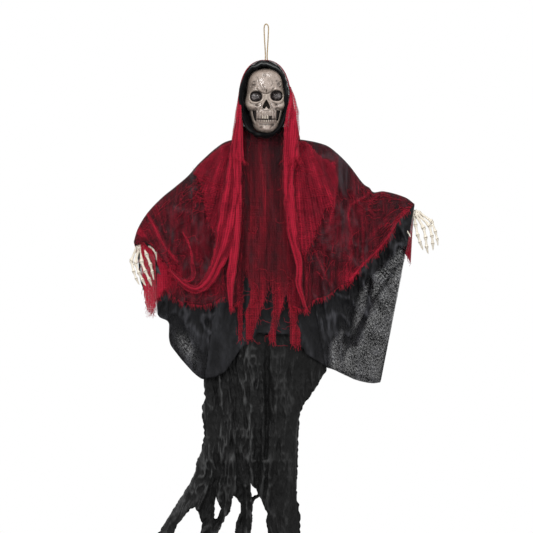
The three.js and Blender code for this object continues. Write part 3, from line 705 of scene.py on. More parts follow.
@dataclass(frozen=True)
class Satin:
    """Woven polyester satin: tight and black, with a grey sheen painted where it turns to the light."""

    name: str
    dark: str
    light: str
    # The colour of the painted sheen.
    sheen: str = "#6C6E6D"

    def material(self) -> Material:
        """Streaks a painted sheen along the threads, and paints a grey sheen where the vertex number crest is
        set.

        Returns:
            The new material.
        """
        recipe = Recipe(self.name)
        recipe.lay(
            ("wide cut", "Mapping", {"Scale": (0.15, 1.0, 1.0)}, {"Vector": "cut"}),
            ("streaks", "TexNoise", grain(5.0, 3.0), {"Vector": "wide cut"}),
            ("shade", "MapRange", span(), {"Value": "streaks"}),
            ("base", "ValToRGB", {"stops": [(0.0, self.dark), (1.0, self.light)]}, {"Fac": "shade"}),
            # Painted sheen: the vertex number crest marks where the colour turns grey.
            ("crest", "Attribute", {"attribute_name": "crest"}, {}),
            ("lit", "MapRange", span(0.0, 1.0), {"Value": "crest"}),
            ("colour", "Mix", toward(self.sheen), {SHARE: "lit", FIRST_COLOUR: "base"}),
            ("weft", "TexWave", bands("Y", 1.6), {"Vector": "cut"}),
            ("fine relief", "Bump", raised(0.12), {"Height": "weft"}),
            ("relief", "Bump", raised(0.5), {"Height": "streaks", "Normal": "fine relief"}),
        )
        return recipe.finish(
            {"Roughness": 0.55, "Sheen Weight": 0.02, "Sheen Roughness": 0.3, "Specular IOR Level": 0.05},
            {"Base Color": "colour", "Normal": "relief"},
        )


@dataclass(frozen=True)
class PaintedBone:
    """Moulded plastic painted as bone under a clear gloss: dark paint and painted shade in the hollows,
    painted highlights.
    """

    name: str
    bone: str
    shade: str
    # The colours of the dark paint with its painted shade in the hollows, and of the painted highlights.
    wash: str
    pale: str
    roughness: float
    coat: float

    def material(self) -> Material:
        """Lays dark paint with painted shade by one vertex number and painted highlights by the number pale,
        and breaks the dark up with fine mottling.

        Returns:
            The new material.
        """
        recipe = Recipe(self.name)
        recipe.lay(
            ("wash", "Attribute", {"attribute_name": "wash"}, {}),
            ("pale", "Attribute", {"attribute_name": "pale"}, {}),
            ("mottle", "TexNoise", grain(7.0, 5.0, 0.62), {"Vector": "place"}),
            ("mottled", "MapRange", span(0.32, 0.68), {"Value": "mottle"}),
            ("base", "ValToRGB", {"stops": [(0.0, self.shade), (0.55, self.bone)]}, {"Fac": "mottled"}),
            # Painted highlights on the raised parts, then dark paint and painted shade in the hollows.
            ("lit", "Mix", toward(self.pale), {SHARE: "pale", FIRST_COLOUR: "base"}),
            ("mottle part", "MapRange", span(start=-0.14, end=0.14), {"Value": "mottle"}),
            ("broken", "Math", {"operation": "ADD"}, {0: "wash", 1: "mottle part"}),
            ("darkening", "MapRange", span(0.08, 0.92), {"Value": "broken"}),
            ("colour", "Mix", toward(self.wash), {SHARE: "darkening", FIRST_COLOUR: "lit"}),
            ("pores", "TexNoise", grain(1.6, 3.0), {"Vector": "place"}),
            ("fine relief", "Bump", raised(0.15), {"Height": "pores"}),
            ("relief", "Bump", raised(0.5), {"Height": "mottle", "Normal": "fine relief"}),
            ("roughness", "MapRange", span(0.2, 0.9, self.roughness, 0.85), {"Value": "broken"}),
            ("gloss", "MapRange", span(0.3, 0.8, self.coat, 0.0), {"Value": "broken"}),
        )
        return recipe.finish(
            {"Coat Roughness": 0.07},
            {"Base Color": "colour", "Normal": "relief", "Roughness": "roughness", "Coat Weight": "gloss"},
        )


@dataclass(frozen=True)
class CloudedEye:
    """A dome of glossy smoked acrylic, its colour streaked pale as painted reflections."""

    name: str = "smoked acrylic, cast"

    def material(self) -> Material:
        """Streaks the dome's colour pale as painted reflections and darkens its rim as painted shade.

        Returns:
            The new material.
        """
        recipe = Recipe(self.name)
        recipe.lay(
            ("tall place", "Mapping", {"Scale": (1.0, 1.0, 2.2)}, {"Vector": "place"}),
            ("streaks", "TexNoise", grain(4.5, 4.0, 0.6), {"Vector": "tall place"}),
            ("shade", "MapRange", span(0.4, 0.68), {"Value": "streaks"}),
            # Painted reflections: pale streaks in the dome's colour.
            ("dome", "ValToRGB", {"stops": [(0.0, "#241E1D"), (0.5, "#4A4241"), (1.0, "#857C79")]},
             {"Fac": "shade"}),
            ("wash", "Attribute", {"attribute_name": "wash"}, {}),
            ("colour", "Mix", toward("#0E0A09"), {SHARE: "wash", FIRST_COLOUR: "dome"}),
            ("relief", "Bump", raised(1.2), {"Height": "streaks"}),
        )
        return recipe.finish(
            {"Roughness": 0.3, "Specular IOR Level": 0.3, "Coat Weight": 0.6, "Coat Roughness": 0.05},
            {"Base Color": "colour", "Normal": "relief"},
        )


@dataclass(frozen=True)
class Plain:
    """A hidden or slim part's finish: one grain, stretched along an axis, with its relief."""

    name: str
    dark: str
    light: str
    grain_mm: float
    stretch: Place
    roughness: float
    relief_mm: float
    metallic: float = 0.0

    def material(self) -> Material:
        """Draws the grain in colour, roughness and relief.

        Returns:
            The new material.
        """
        recipe = Recipe(self.name)
        recipe.lay(
            ("long place", "Mapping", {"Scale": self.stretch}, {"Vector": "place"}),
            ("grain", "TexNoise", grain(self.grain_mm, 4.0, 0.6), {"Vector": "long place"}),
            ("shade", "MapRange", span(), {"Value": "grain"}),
            ("colour", "ValToRGB", {"stops": [(0.0, self.dark), (1.0, self.light)]}, {"Fac": "shade"}),
            ("polish", "MapRange", span(start=self.roughness - 0.06, end=self.roughness + 0.06),
             {"Value": "grain"}),
            ("relief", "Bump", raised(self.relief_mm), {"Height": "grain"}),
        )
        return recipe.finish(
            {"Metallic": self.metallic}, {"Base Color": "colour", "Roughness": "polish", "Normal": "relief"},
        )


class Fabric(Enum):
    """The finishes of the ghost, and the record's slot of each."""

    # Cheesecloth: two loose thread sets with gaps, pale where it is gathered.
    RED_GAUZE = ("gauze", Gauze("cheesecloth, dyed red", "#5A1822", "#8E1B2D", "#AD2036"))
    MAROON_GAUZE = ("maroon", Gauze("cheesecloth, dyed maroon", "#551720", "#7E1B28", "#A01E2F"))
    RED_THREAD = ("gauze", CottonThread("cotton thread, dyed red", "#8A1828", "#B42238"))
    # Spunbond: black pressed fibres, clouded grey where one layer lets light through, with painted shade in
    # the creases and painted sheen on the ridges.
    BLACK_CLOTH = ("nonwoven", Nonwoven("spunbond, black", "#0B0B0D", "#19191C", "#434347"))
    CRINKLED_CLOTH = ("nonwoven", Nonwoven(
        "spunbond, black, crinkled", "#0B0B0B", "#1C1C1C", "#484848", 9.0))
    # Satin: a close weave whose long floats give a grey sheen at a slant, painted into its colour.
    HOOD_SATIN = ("satin", Satin("polyester satin, black", "#050506", "#0F0F11"))
    # Painted mouldings: bone colours, dark paint and painted shade in every hollow, painted highlights and
    # gloss on the skull.
    SKULL = ("bone", PaintedBone(
        "PVC, moulded, bone paint", "#A5958A", "#84766A", "#18100D", "#CBBFAF", 0.34, 0.6))
    HAND = ("ivory", PaintedBone(
        "ABS, moulded, ivory paint", "#EFE6D6", "#E0D4BF", "#5A4630", "#F7F1E6", 0.45, 0.1))
    EYE = ("eye", CloudedEye())
    # Jute: dull tan fibres laid along the cord.
    CORD = ("cord", Plain("jute cord, spun", "#7D6341", "#CDB58A", 0.9, (1.0, 1.0, 0.3), 0.9, 0.3))
    # Drawn steel: grey metal with fine scores.
    WIRE = ("wire", Plain("steel wire, drawn", "#6E7073", "#A9ACAF", 1.1, (1.0, 1.0, 1.0), 0.4, 0.05, 1.0))
    # Polyethylene foam: dark and matt with open pores.
    FOAM = ("foam", Plain(
        "polyethylene foam, extruded", "#1E1E20", "#4A4A4E", 1.8, (1.0, 1.0, 1.0), 0.92, 0.5))
    # Beech: straight pale grain along the dowel.
    DOWEL = ("dowel", Plain("beech dowel, turned", "#A9825A", "#D6B68A", 1.4, (1.0, 1.0, 0.08), 0.62, 0.15))


class Wardrobe:
    """Makes each finish once and hands it out."""

    def __init__(self) -> None:
        """Starts with no material made."""
        self.made: dict[str, Material] = {}

    def material(self, fabric: Fabric) -> Material:
        """Returns the material of a finish.

        Args:
            fabric: The finish.

        Returns:
            Its material, made once.
        """
        recipe = fabric.value[1]
        if recipe.name not in self.made:
            self.made[recipe.name] = recipe.material()
        return self.made[recipe.name]

    def dress(self, piece: Piece, fabric: Fabric) -> None:
        """Gives a new piece one of the finishes.

        Args:
            piece: The new object.
            fabric: Its finish.
        """
        piece.data.materials.clear()
        piece.data.materials.append(self.material(fabric))

    def fit(self, piece: Piece, fabric: Fabric, node: str, body: str) -> None:
        """Dresses a rigid piece that stands for a part of the frame, and lets it ride on a body.

        Args:
            piece: The new piece.
            fabric: Its finish.
            node: The part that it replaces.
            body: The body that carries it.
        """
        self.dress(piece, fabric)
        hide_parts(node)
        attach(piece, body)

    def repaint(self, node: Piece, fabric: Fabric) -> None:
        """Gives a part of the frame a finish in place of its plain colour."""
        for held in node.material_slots:
            held.material = self.material(fabric)


@dataclass
class Cloth:
    """A sheet as a grid: its points and flat cut, the cells kept and how thickly it gathers."""

    name: str
    points: Array
    cut: Array
    gather: Array
    kept: Array
    thickness: float = 0.8
    ease: int = 1
    # A share of painted sheen at each point, which lightens the colour of satin and spunbond there.
    crest: Array | None = None

    def eased(self, places: Array, quads: Array) -> Array:
        """Evens out the raw edge of the grid and returns its points.

        Args:
            places: The points that the sheet uses.
            quads: The four point numbers of each cell.

        Returns:
            The moved points.
        """
        pairs = np.sort(np.concatenate([quads[:, [k, (k + 1) % 4]] for k in range(4)]), axis=1)
        pairs = pairs[pairs[:, 0] != pairs[:, 1]]
        single, times = np.unique(pairs, axis=0, return_counts=True)
        first, second = single[times == 1].T
        moved = places.copy()
        count = np.bincount(first, minlength=len(places)) + np.bincount(second, minlength=len(places))
        edge = count == 2
        for _ in range(self.ease):
            total = np.zeros_like(moved)
            np.add.at(total, first, moved[second])
            np.add.at(total, second, moved[first])
            moved[edge] = moved[edge] / 2 + total[edge] / 4
        return moved

    def make(self) -> Piece:
        """Makes the closed sheet, with its cut as UV coordinates in metres.

        Returns:
            The sheet's object.
        """
        rows, columns = self.kept.shape
        index = np.arange((rows + 1) * (columns + 1)).reshape(rows + 1, columns + 1)
        corners = [index[:-1, :-1], index[:-1, 1:], index[1:, 1:], index[1:, :-1]]
        quads = np.stack(corners, axis=-1)[self.kept]
        used = np.unique(quads)
        places = self.points.reshape(-1, 3)[used]
        _, first, same = np.unique(np.round(places, 3), axis=0, return_index=True, return_inverse=True)
        lookup = np.zeros(index.size, int)
        lookup[used] = same.ravel()
        cells = lookup[quads]
        faces, flat = [], []
        for face, quad in zip(cells.tolist(), quads.tolist()):
            held = [k for k in range(4) if face[k] != face[k - 1]]
            if len(held) > 2:
                faces.append([face[k] for k in held])
                flat.extend(quad[k] for k in held)
        piece = new_mesh(self.name, self.eased(places[first], cells), faces)
        layer = piece.data.uv_layers.new(name="cut")
        layer.data.foreach_set("uv", (self.cut.reshape(-1, 2)[flat] * MM).astype(np.float32).ravel())
        add_attribute(piece, "gather", self.gather.reshape(-1)[used][first])
        if self.crest is not None:
            add_attribute(piece, "crest", self.crest.reshape(-1)[used][first])
        apply_modifier(piece, "SOLIDIFY", thickness=self.thickness * MM, offset=0.0)
        shade_smooth(piece)
        return piece

    def area(self) -> float:
        """Returns the area of the kept cells in square millimetres.

        Returns:
            The area.
        """
        p = self.points
        crossed = np.cross(p[1:, 1:] - p[:-1, :-1], p[1:, :-1] - p[:-1, 1:])
        return float((np.linalg.norm(crossed, axis=-1) / 2)[self.kept].sum())

    def declare(self, piece: Piece) -> None:
        """Args:
            piece: The sheet's object.
        """
        area = self.area()
        flat = self.cut[:-1, :-1][self.kept]
        width, length = np.maximum(flat.max(axis=0) - flat.min(axis=0), NARROWEST)
        grown = math.sqrt(max(1.0, area / (width * length)))
        width, length = width * grown * MM, length * grown * MM
        LOG.info("%s: cut %.0f x %.0f mm", piece.name, width / MM, length / MM)

    def hang(
        self, piece: Piece, wardrobe: Wardrobe, fabric: Fabric, node: str, carry: Callable[[Piece], None],
        held: str, rests_on: str, loose: Sequence[Piece] = (),
    ) -> None:
        """Args:
            piece: The sheet's object.
            wardrobe: The maker of the finishes.
            fabric: The sheet's finish.
            node: The part of the frame that it replaces.
            carry: Lets a piece ride on its body, or applies its place to its mesh.
            held: How the sheet is held; not used.
            rests_on: The name of the piece under it; not used.
            loose: Its threads.
        """
        wardrobe.dress(piece, fabric)
        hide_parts(node)
        carry(piece)
        for part in loose:
            wardrobe.dress(part, Fabric.RED_THREAD)
            carry(part)
        self.declare(piece)


def rider(body: str) -> Callable[[Piece], None]:
    """Returns what lets a piece ride on this body."""
    return lambda piece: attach(piece, body)


def flat_cut(points: Array) -> Array:
    """Lays a grid of points flat by the mean lengths of its rows and columns, in millimetres.

    Args:
        points: The grid's points, by row and column.

    Returns:
        For each point its place across and down the cut.
    """
    across = np.linalg.norm(np.diff(points, axis=1), axis=-1).mean(axis=0)
    down = np.linalg.norm(np.diff(points, axis=0), axis=-1).mean(axis=1)
    u = np.concatenate([[0.0], np.cumsum(across)])
    v = np.concatenate([[0.0], np.cumsum(down)])
    return np.stack(np.meshgrid(u, v), axis=-1)


def threads(name: str, paths: Array, radius: float) -> Piece:
    """Makes many loose threads as slim three-sided tubes in one mesh.

    Args:
        name: The object's name.
        paths: For each thread, the points that it follows.
        radius: Half a thread's width.

    Returns:
        The object that holds them all.
    """
    count, stations, _ = paths.shape
    along = np.gradient(paths, axis=1)
    along /= np.maximum(np.linalg.norm(along, axis=-1, keepdims=True), TINY)
    side = np.cross(along, np.array(ASIDE))
    side /= np.maximum(np.linalg.norm(side, axis=-1, keepdims=True), TINY)
    up = np.cross(along, side)
    taper = radius * np.linspace(1.0, 0.55, stations)[None, :, None]
    corners = [paths + taper * (side * math.cos(turn) + up * math.sin(turn)) for turn in THREAD_TURNS]
    ring = np.arange(count * stations * 3).reshape(count, stations, 3)
    turned = np.roll(ring, -1, axis=2)
    walls = np.stack([ring[:, :-1], turned[:, :-1], turned[:, 1:], ring[:, 1:]], axis=-1).reshape(-1, 4)
    caps = np.concatenate([ring[:, 0, ::-1], ring[:, -1, :]])
    piece = new_mesh(name, np.stack(corners, axis=2).reshape(-1, 3), [*walls.tolist(), *caps.tolist()])
    shade_smooth(piece)
    return piece


@dataclass
class Fringe:
    """Loose threads that fray out of a sheet's raw edge, or lie crumpled on it."""

    seed: int
    # Real threads are 0.3 mm thick; they are drawn thicker so that they show, as a bunch of them would.
    radius: float = 0.6
    heading: tuple[float, float] = (0.0, 6.28)
    wander: float = 0.6
    stations: int = 12

    def along_edge(self, cloth: Cloth, name: str, count: int, length: tuple[float, float]) -> Piece:
        """Hangs threads from the lower raw edge of a sheet.

        Args:
            cloth: The sheet that they fray out of.
            name: The new object's name.
            count: How many threads.
            length: The shortest and longest thread.

        Returns:
            The threads' object.
        """
        draw = np.random.RandomState(self.seed)
        columns = cloth.kept.shape[1]
        below = np.vstack([cloth.kept[1:], np.zeros((1, columns), bool)])
        j, i = np.nonzero(cloth.kept & ~below)
        chosen = draw.choice(len(j), count, replace=count > len(j))
        j, i = j[chosen], i[chosen]
        root = mix(cloth.points[j + 1, i], cloth.points[j + 1, i + 1], draw.rand(count, 1))
        away = cloth.points[j + 1, i] - cloth.points[np.maximum(j - 3, 0), i]
        away /= np.maximum(np.linalg.norm(away, axis=1, keepdims=True), TINY)
        away += draw.normal(0, 0.45, (count, 3)) * np.array([1.0, 0.35, 0.7])
        away /= np.linalg.norm(away, axis=1, keepdims=True)
        reach = draw.uniform(*length, count)[:, None, None]
        t = np.linspace(0, 1, 6)[None, :, None]
        curl = np.sin(t * draw.uniform(2, 7, (count, 1, 1)))
        sideways = draw.normal(0, 1, (count, 1, 3)) * np.array([1.0, 0.3, 0.5])
        paths = root[:, None] + away[:, None] * reach * t + sideways * curl * t * reach * 0.2
        paths[:, :, 2] -= (reach * t * t * 0.25)[:, :, 0]
        return threads(name, paths, self.radius)

    def over_sheet(self, cloth: Cloth, name: str, count: int, where: Array) -> Piece:
        """Lays crinkled threads over a sheet, each wandering from a random start.

        Args:
            cloth: The sheet under them.
            name: The new object's name.
            count: How many threads.
            where: How likely a thread starts at each point of the grid.

        Returns:
            The threads' object.
        """
        draw = np.random.RandomState(self.seed)
        rows, columns = cloth.kept.shape
        weight = (np.maximum(where[:-1, :-1], 0) * cloth.kept).ravel()
        start = draw.choice(len(weight), count, p=weight / weight.sum())
        row, column = (part.astype(float) for part in np.divmod(start, columns))
        heading = draw.uniform(*self.heading, count)
        facing = np.sign(cloth.points[..., 1].mean())
        paths = []
        for _ in range(self.stations):
            a, b = np.round(row).astype(int), np.round(column).astype(int)
            paths.append(cloth.points[a, b] + np.array([0.0, facing * 1.3, 0.0]))
            heading += draw.normal(0, self.wander, count)
            row = np.clip(row + 1.6 * np.sin(heading), 1, rows - 1)
            column = np.clip(column + 1.6 * np.cos(heading), 1, columns - 1)
        return threads(name, np.stack(paths, axis=1), self.radius)


@dataclass(frozen=True)
class ArmLayout:
    """One arm's lines in the plane of the figure, as (x, z), and where its cloth starts to follow it."""

    side: str
    sign: int
    centre: Pairs
    crest: Pairs

    def follow(self, piece: Piece) -> None:
        """Applies the place of a piece of cloth to its mesh; it stays unattached to this arm.

        Args:
            piece: The cloth, its hem or its threads.
        """
        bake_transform(piece)


LEFT_ARM = ArmLayout(
    "left", -1,
    ((-100, -308), (-160, -364), (-220, -422), (-278, -480), (-300, -512), (-313, -540)),
    ((-47, -288), (-83, -288), (-114, -300), (-169, -348), (-195, -378), (-229, -407), (-261, -433),
     (-297, -471), (-321, -510), (-331, -542)),
)
RIGHT_ARM = ArmLayout(
    "right", 1,
    ((100, -308), (165, -337), (213, -384), (252, -434), (308, -450), (365, -463)),
    ((47, -287), (89, -288), (147, -301), (175, -320), (207, -352), (244, -400), (259, -409), (266, -420),
     (293, -417), (347, -432), (371, -449)),
)


# What the sheets of each layer over an arm have in common.
CAPE = {"radius": 18.5, "spread": 26.0, "ragged": 3.0}
SLEEVE = {"radius": 13.6, "spread": 10.0, "ragged": 1.0, "thickness": 1.0}


def drape_depth(drop: Array, radius: float, spread: float) -> Array:
    """Returns how far a cloth stands from the arm's plane at a distance below the crest."""
    turned = np.sqrt(np.clip(1 - (1 - np.clip(drop / radius, 0, 1)) ** 2, 0, 1))
    return radius * turned + spread * (1 - np.exp(-np.maximum(drop - radius, 0) / 60))


@dataclass
class Crease:
    """A raised line in a cloth: its place, width and height, and how much thicker the cloth looks there."""

    line: Pairs
    width: float
    height: float
    thicker: float


@dataclass
class Patch:
    """A soft oval in a cloth where it looks thinner or thicker and may be crumpled."""

    x: float
    z: float
    half_width: float
    half_height: float
    thicker: float
    crumple: float = 0.0

    def at(self, x: Array, z: Array) -> Array:
        """Returns 1 at the oval's middle, falling to 0 round it."""
        return bump(x, self.x, self.half_width) * bump(z, self.z, self.half_height)


@dataclass
class ArmSheet:
    """Half of a cloth laid over an arm: from the crest of the arm down its front or back to a hem.

    The hem is a list of (share along the crest, x, z).
    """

    name: str
    arm: ArmLayout
    back: bool
    hem: Sequence[Place]
    radius: float
    spread: float
    fold: float
    fold_width: float
    crinkle: float
    ragged: float
    seed: int
    thickness: float
    crumple: float = 0.0
    creases: Sequence[Crease] = ()
    patches: Sequence[Patch] = ()
    hem_gap: Pairs | None = None
    thin: Callable[[Array, Array], Array] | None = None
    columns: int = 130
    rows: int = 140

    def cloth(self) -> Cloth:
        """Builds the sheet's grid.

        Returns:
            The sheet's grid.
        """
        noise, fine = Noise(self.seed), Noise(self.seed + 1)
        u = np.linspace(0, 1, self.columns + 1)[None, :]
        v = np.linspace(0, 1, self.rows + 1)[:, None] ** 1.25
        shares = [share for share, _, _ in self.hem]
        crest, hem = Line(self.arm.crest)(u), Line([place[1:] for place in self.hem], shares)(u)
        jag = self.ragged * (0.6 * noise(u * 34, 0.5) + 0.4 * fine(u * 90, 1.5))
        hem = hem + np.stack([jag * 0.3, jag], axis=-1)
        flat = mix(crest, hem, v[..., None])
        x, z = flat[..., 0], flat[..., 1]
        drop = np.linalg.norm(flat - crest, axis=-1)
        along = u * 390
        wander = along + 16 * noise(along / 60 + 3, drop / 140)
        waves = noise.ridges(wander / self.fold_width, drop / 420 + 7)
        small = fine.ridges(wander / (self.fold_width * 0.42), drop / 150)
        crumples = fine.ridges(x / 26 + z / 60, z / 44) + 0.6 * noise.ridges(x / 15, z / 24 - x / 50)
        y = drape_depth(drop, self.radius, self.spread) + self.crumple * crumples * step(drop, 20, 120)
        y += self.fold * (1 - np.exp(-drop / 110)) * (0.5 * waves + 0.25 * small)
        y += self.crinkle * (fine(x / 19, z / 15) + 0.6 * noise(x / 8, z / 7)) * step(drop, 2, 40)
        gather = self.thickness + 0.06 * waves + 0.05 * small + 0.03 * noise(x / 30, z / 40)
        for crease in self.creases:
            close = near(x, z, crease.line, crease.width)
            y += crease.height * close
            gather = gather + crease.thicker * close
        crumpled = (fine.ridges(x / 13, z / 11) + 0.6 * noise.ridges(x / 6, z / 7)) * step(drop, 2, 20)
        for patch in self.patches:
            y += patch.crumple * patch.at(x, z) * crumpled
            gather = gather + patch.thicker * patch.at(x, z)
        if self.hem_gap is not None:
            y = mix(y, Curve(self.hem_gap)(u), step(v, 0.5, 1.0))
        if self.thin is not None:
            gather = self.thin(x, z)
        facing = 1 if self.back else -1
        points = np.stack([x, facing * np.maximum(y, 0.0), z], axis=-1)
        kept = np.ones((self.rows, self.columns), bool)
        # Painted sheen: the ridges of the folds and crumples are marked to be lightened.
        crest = 0.85 * np.clip(0.3 * waves + 0.2 * small + 0.75 * crumples - 0.05, 0, 1)
        return Cloth(self.name, points, flat_cut(points), gather, kept, crest=crest)


@dataclass
class Raster:
    """A sheet cut to outlines in the figure's plane, as small square cells. A second outline is a hole."""

    outlines: Sequence[Pairs]
    cell: float = 2.4
    ragged: float = 2.0
    seed: int = 11

    def grid(self) -> tuple[Array, Array, Array]:
        """Returns the x and z of the grid's points, and the cells inside the outlines.

        Returns:
            x and z of each point, and True for each kept cell.
        """
        places = np.array(self.outlines[0], float)
        (x1, z1), (x2, z2) = places.min(axis=0) - 4, places.max(axis=0) + 4
        x, z = np.meshgrid(np.arange(x1, x2, self.cell), np.arange(z2, z1, -self.cell))
        noise = Noise(self.seed)
        middle_x, middle_z = x[:-1, :-1] + self.cell / 2, z[:-1, :-1] - self.cell / 2
        torn_x = middle_x + self.ragged * noise(middle_x / 7, middle_z / 5)
        torn_z = middle_z + self.ragged * 1.6 * noise(middle_x / 5 + 40, middle_z / 9)
        kept = np.zeros(middle_x.shape, bool)
        for outline in self.outlines:
            kept ^= inside(torn_x, torn_z, outline)
        return x, z, kept


@dataclass
class Ribbon:
    """A gathered length of gauze: pleats along a line with a changing half width."""

    line: Pairs
    half_widths: Sequence[float]
    depth: float
    bulge: float
    pleats: float
    seed: int
    thickness: float
    tuck: float = 20.0
    columns: int = 26
    rows: int = 220

    def cloth(self, name: str) -> Cloth:
        """Builds the ribbon's grid.

        Args:
            name: The name of the sheet's object.

        Returns:
            The sheet's grid.
        """
        noise, fine = Noise(self.seed), Noise(self.seed + 1)
        s = np.linspace(0, 1, self.rows + 1)[:, None]
        t = np.linspace(-1, 1, self.columns + 1)[None, :]
        line = Line(self.line)
        middle, ahead = line(s), line(np.minimum(s + 0.01, 1)) - line(np.maximum(s - 0.01, 0))
        ahead /= np.linalg.norm(ahead, axis=-1, keepdims=True)
        half = Curve(list(zip(np.linspace(0, 1, len(self.half_widths)), self.half_widths)))(s)
        across = t * half * (1 + 0.14 * fine(s * 60, t * 0.5 + 9) * np.abs(t))
        x = middle[..., 0] - ahead[..., 1] * across
        z = middle[..., 1] + ahead[..., 0] * across
        pleat = np.sin((t * self.pleats + 1.3 * noise(s * 5, 0.5) + 0.5 * noise(s * 17, t * 2)) * math.pi)
        y = self.depth + self.bulge * np.sqrt(np.maximum(1 - t * t, 0))
        y = y + 1.5 * pleat + 0.5 * fine(x / 9, z / 18)
        y -= self.tuck * (1 - step(s, 0.0, 0.12))
        # Thinner and darker towards both edges: partly the thin cover, partly painted shade between the
        # rolled bands.
        gather = self.thickness + 0.14 * pleat - 0.24 * t ** 4 + 0.06 * noise(s * 24, t * 3)
        points = np.stack([x, -y, z], axis=-1)
        kept = np.ones((self.rows, self.columns), bool)
        return Cloth(name, points, flat_cut(points), gather, kept)


@dataclass
class HangingCord:
    """The loop of twisted jute that the figure hangs from, and its hidden knot."""

    radius: float = 1.6
    # The length of cord that a strand takes for one turn.
    pitch: float = 8.0
    sides: int = 18
    path: Sequence[Place] = (
        (5.4, 0, -99.8), (3.4, 0, -93), (2.1, 0, -80), (3, 0, -60), (4.4, 0, -36), (5.4, 0, -14),
        (5.4, 0, -8), (3.9, 0, -1.6), (0, 0, 1.6), (-3.9, 0, -1.6), (-5.4, 0, -8), (-5.4, 0, -14),
        (-4.4, 0, -36), (-3, 0, -60), (-2.1, 0, -80), (-2.9, 0, -90), (-4.9, 0, -96), (-4.2, 0, -100.2),
        (-2, 0, -102.3), (0.4, 0, -102.6), (2.5, 0, -102.4),
    )
    knot: Place = (6.6, 0, -103.4)
    knot_size: float = 0.85
    knot_radius: float = 0.8

    def rope(self, name: str, places: Array, radius: float) -> Piece:
        """Makes a three-strand rope along points.

        Args:
            name: The new object's name.
            places: The points that it runs through.
            radius: Half the rope's width.

        Returns:
            The new object.
        """
        along = np.gradient(places, axis=0)
        along /= np.linalg.norm(along, axis=1, keepdims=True)
        level = np.cross(along, [0.02, 1.0, 0.03])
        level /= np.linalg.norm(level, axis=1, keepdims=True)
        up = np.cross(along, level)
        walked = np.concatenate([[0], np.cumsum(np.linalg.norm(np.diff(places, axis=0), axis=1))])
        angle = np.linspace(0, 2 * math.pi, self.sides, endpoint=False)[None, :]
        twist = angle - 2 * math.pi * walked[:, None] / self.pitch
        reach = radius * (0.74 + 0.26 * np.abs(np.cos(1.5 * twist)))
        offset = level[:, None] * np.cos(angle)[..., None] + up[:, None] * np.sin(angle)[..., None]
        points = places[:, None] + offset * reach[..., None]
        ring = np.arange(len(places) * self.sides).reshape(-1, self.sides)
        turned = np.roll(ring, -1, axis=1)
        faces = np.stack([ring[:-1], turned[:-1], turned[1:], ring[1:]], axis=-1).reshape(-1, 4).tolist()
        faces += [ring[0, ::-1].tolist(), ring[-1].tolist()]
        piece = new_mesh(name, points.reshape(-1, 3), faces)
        outward(piece)
        shade_smooth(piece)
        return piece

    def build(self, wardrobe: Wardrobe) -> None:
        """Args:
            wardrobe: The maker of the finishes.
        """
        line = Line(self.path)(np.linspace(0, 1, 320))
        loop = self.rope("cord_loop_rope", line, self.radius)
        t = np.linspace(0, 2 * math.pi, 150)
        coil = [(2 + np.cos(3 * t)) * np.cos(2 * t), np.sin(3 * t), (2 + np.cos(3 * t)) * np.sin(2 * t)]
        coiled = np.stack(coil, axis=-1) * self.knot_size + np.array(self.knot)
        knot = self.rope("cord_knot_rope", coiled, self.knot_radius)
        wardrobe.fit(loop, Fabric.CORD, "hanging_loop", "cord_loop")
        wardrobe.fit(knot, Fabric.CORD, "loop_knot", "cord_loop")


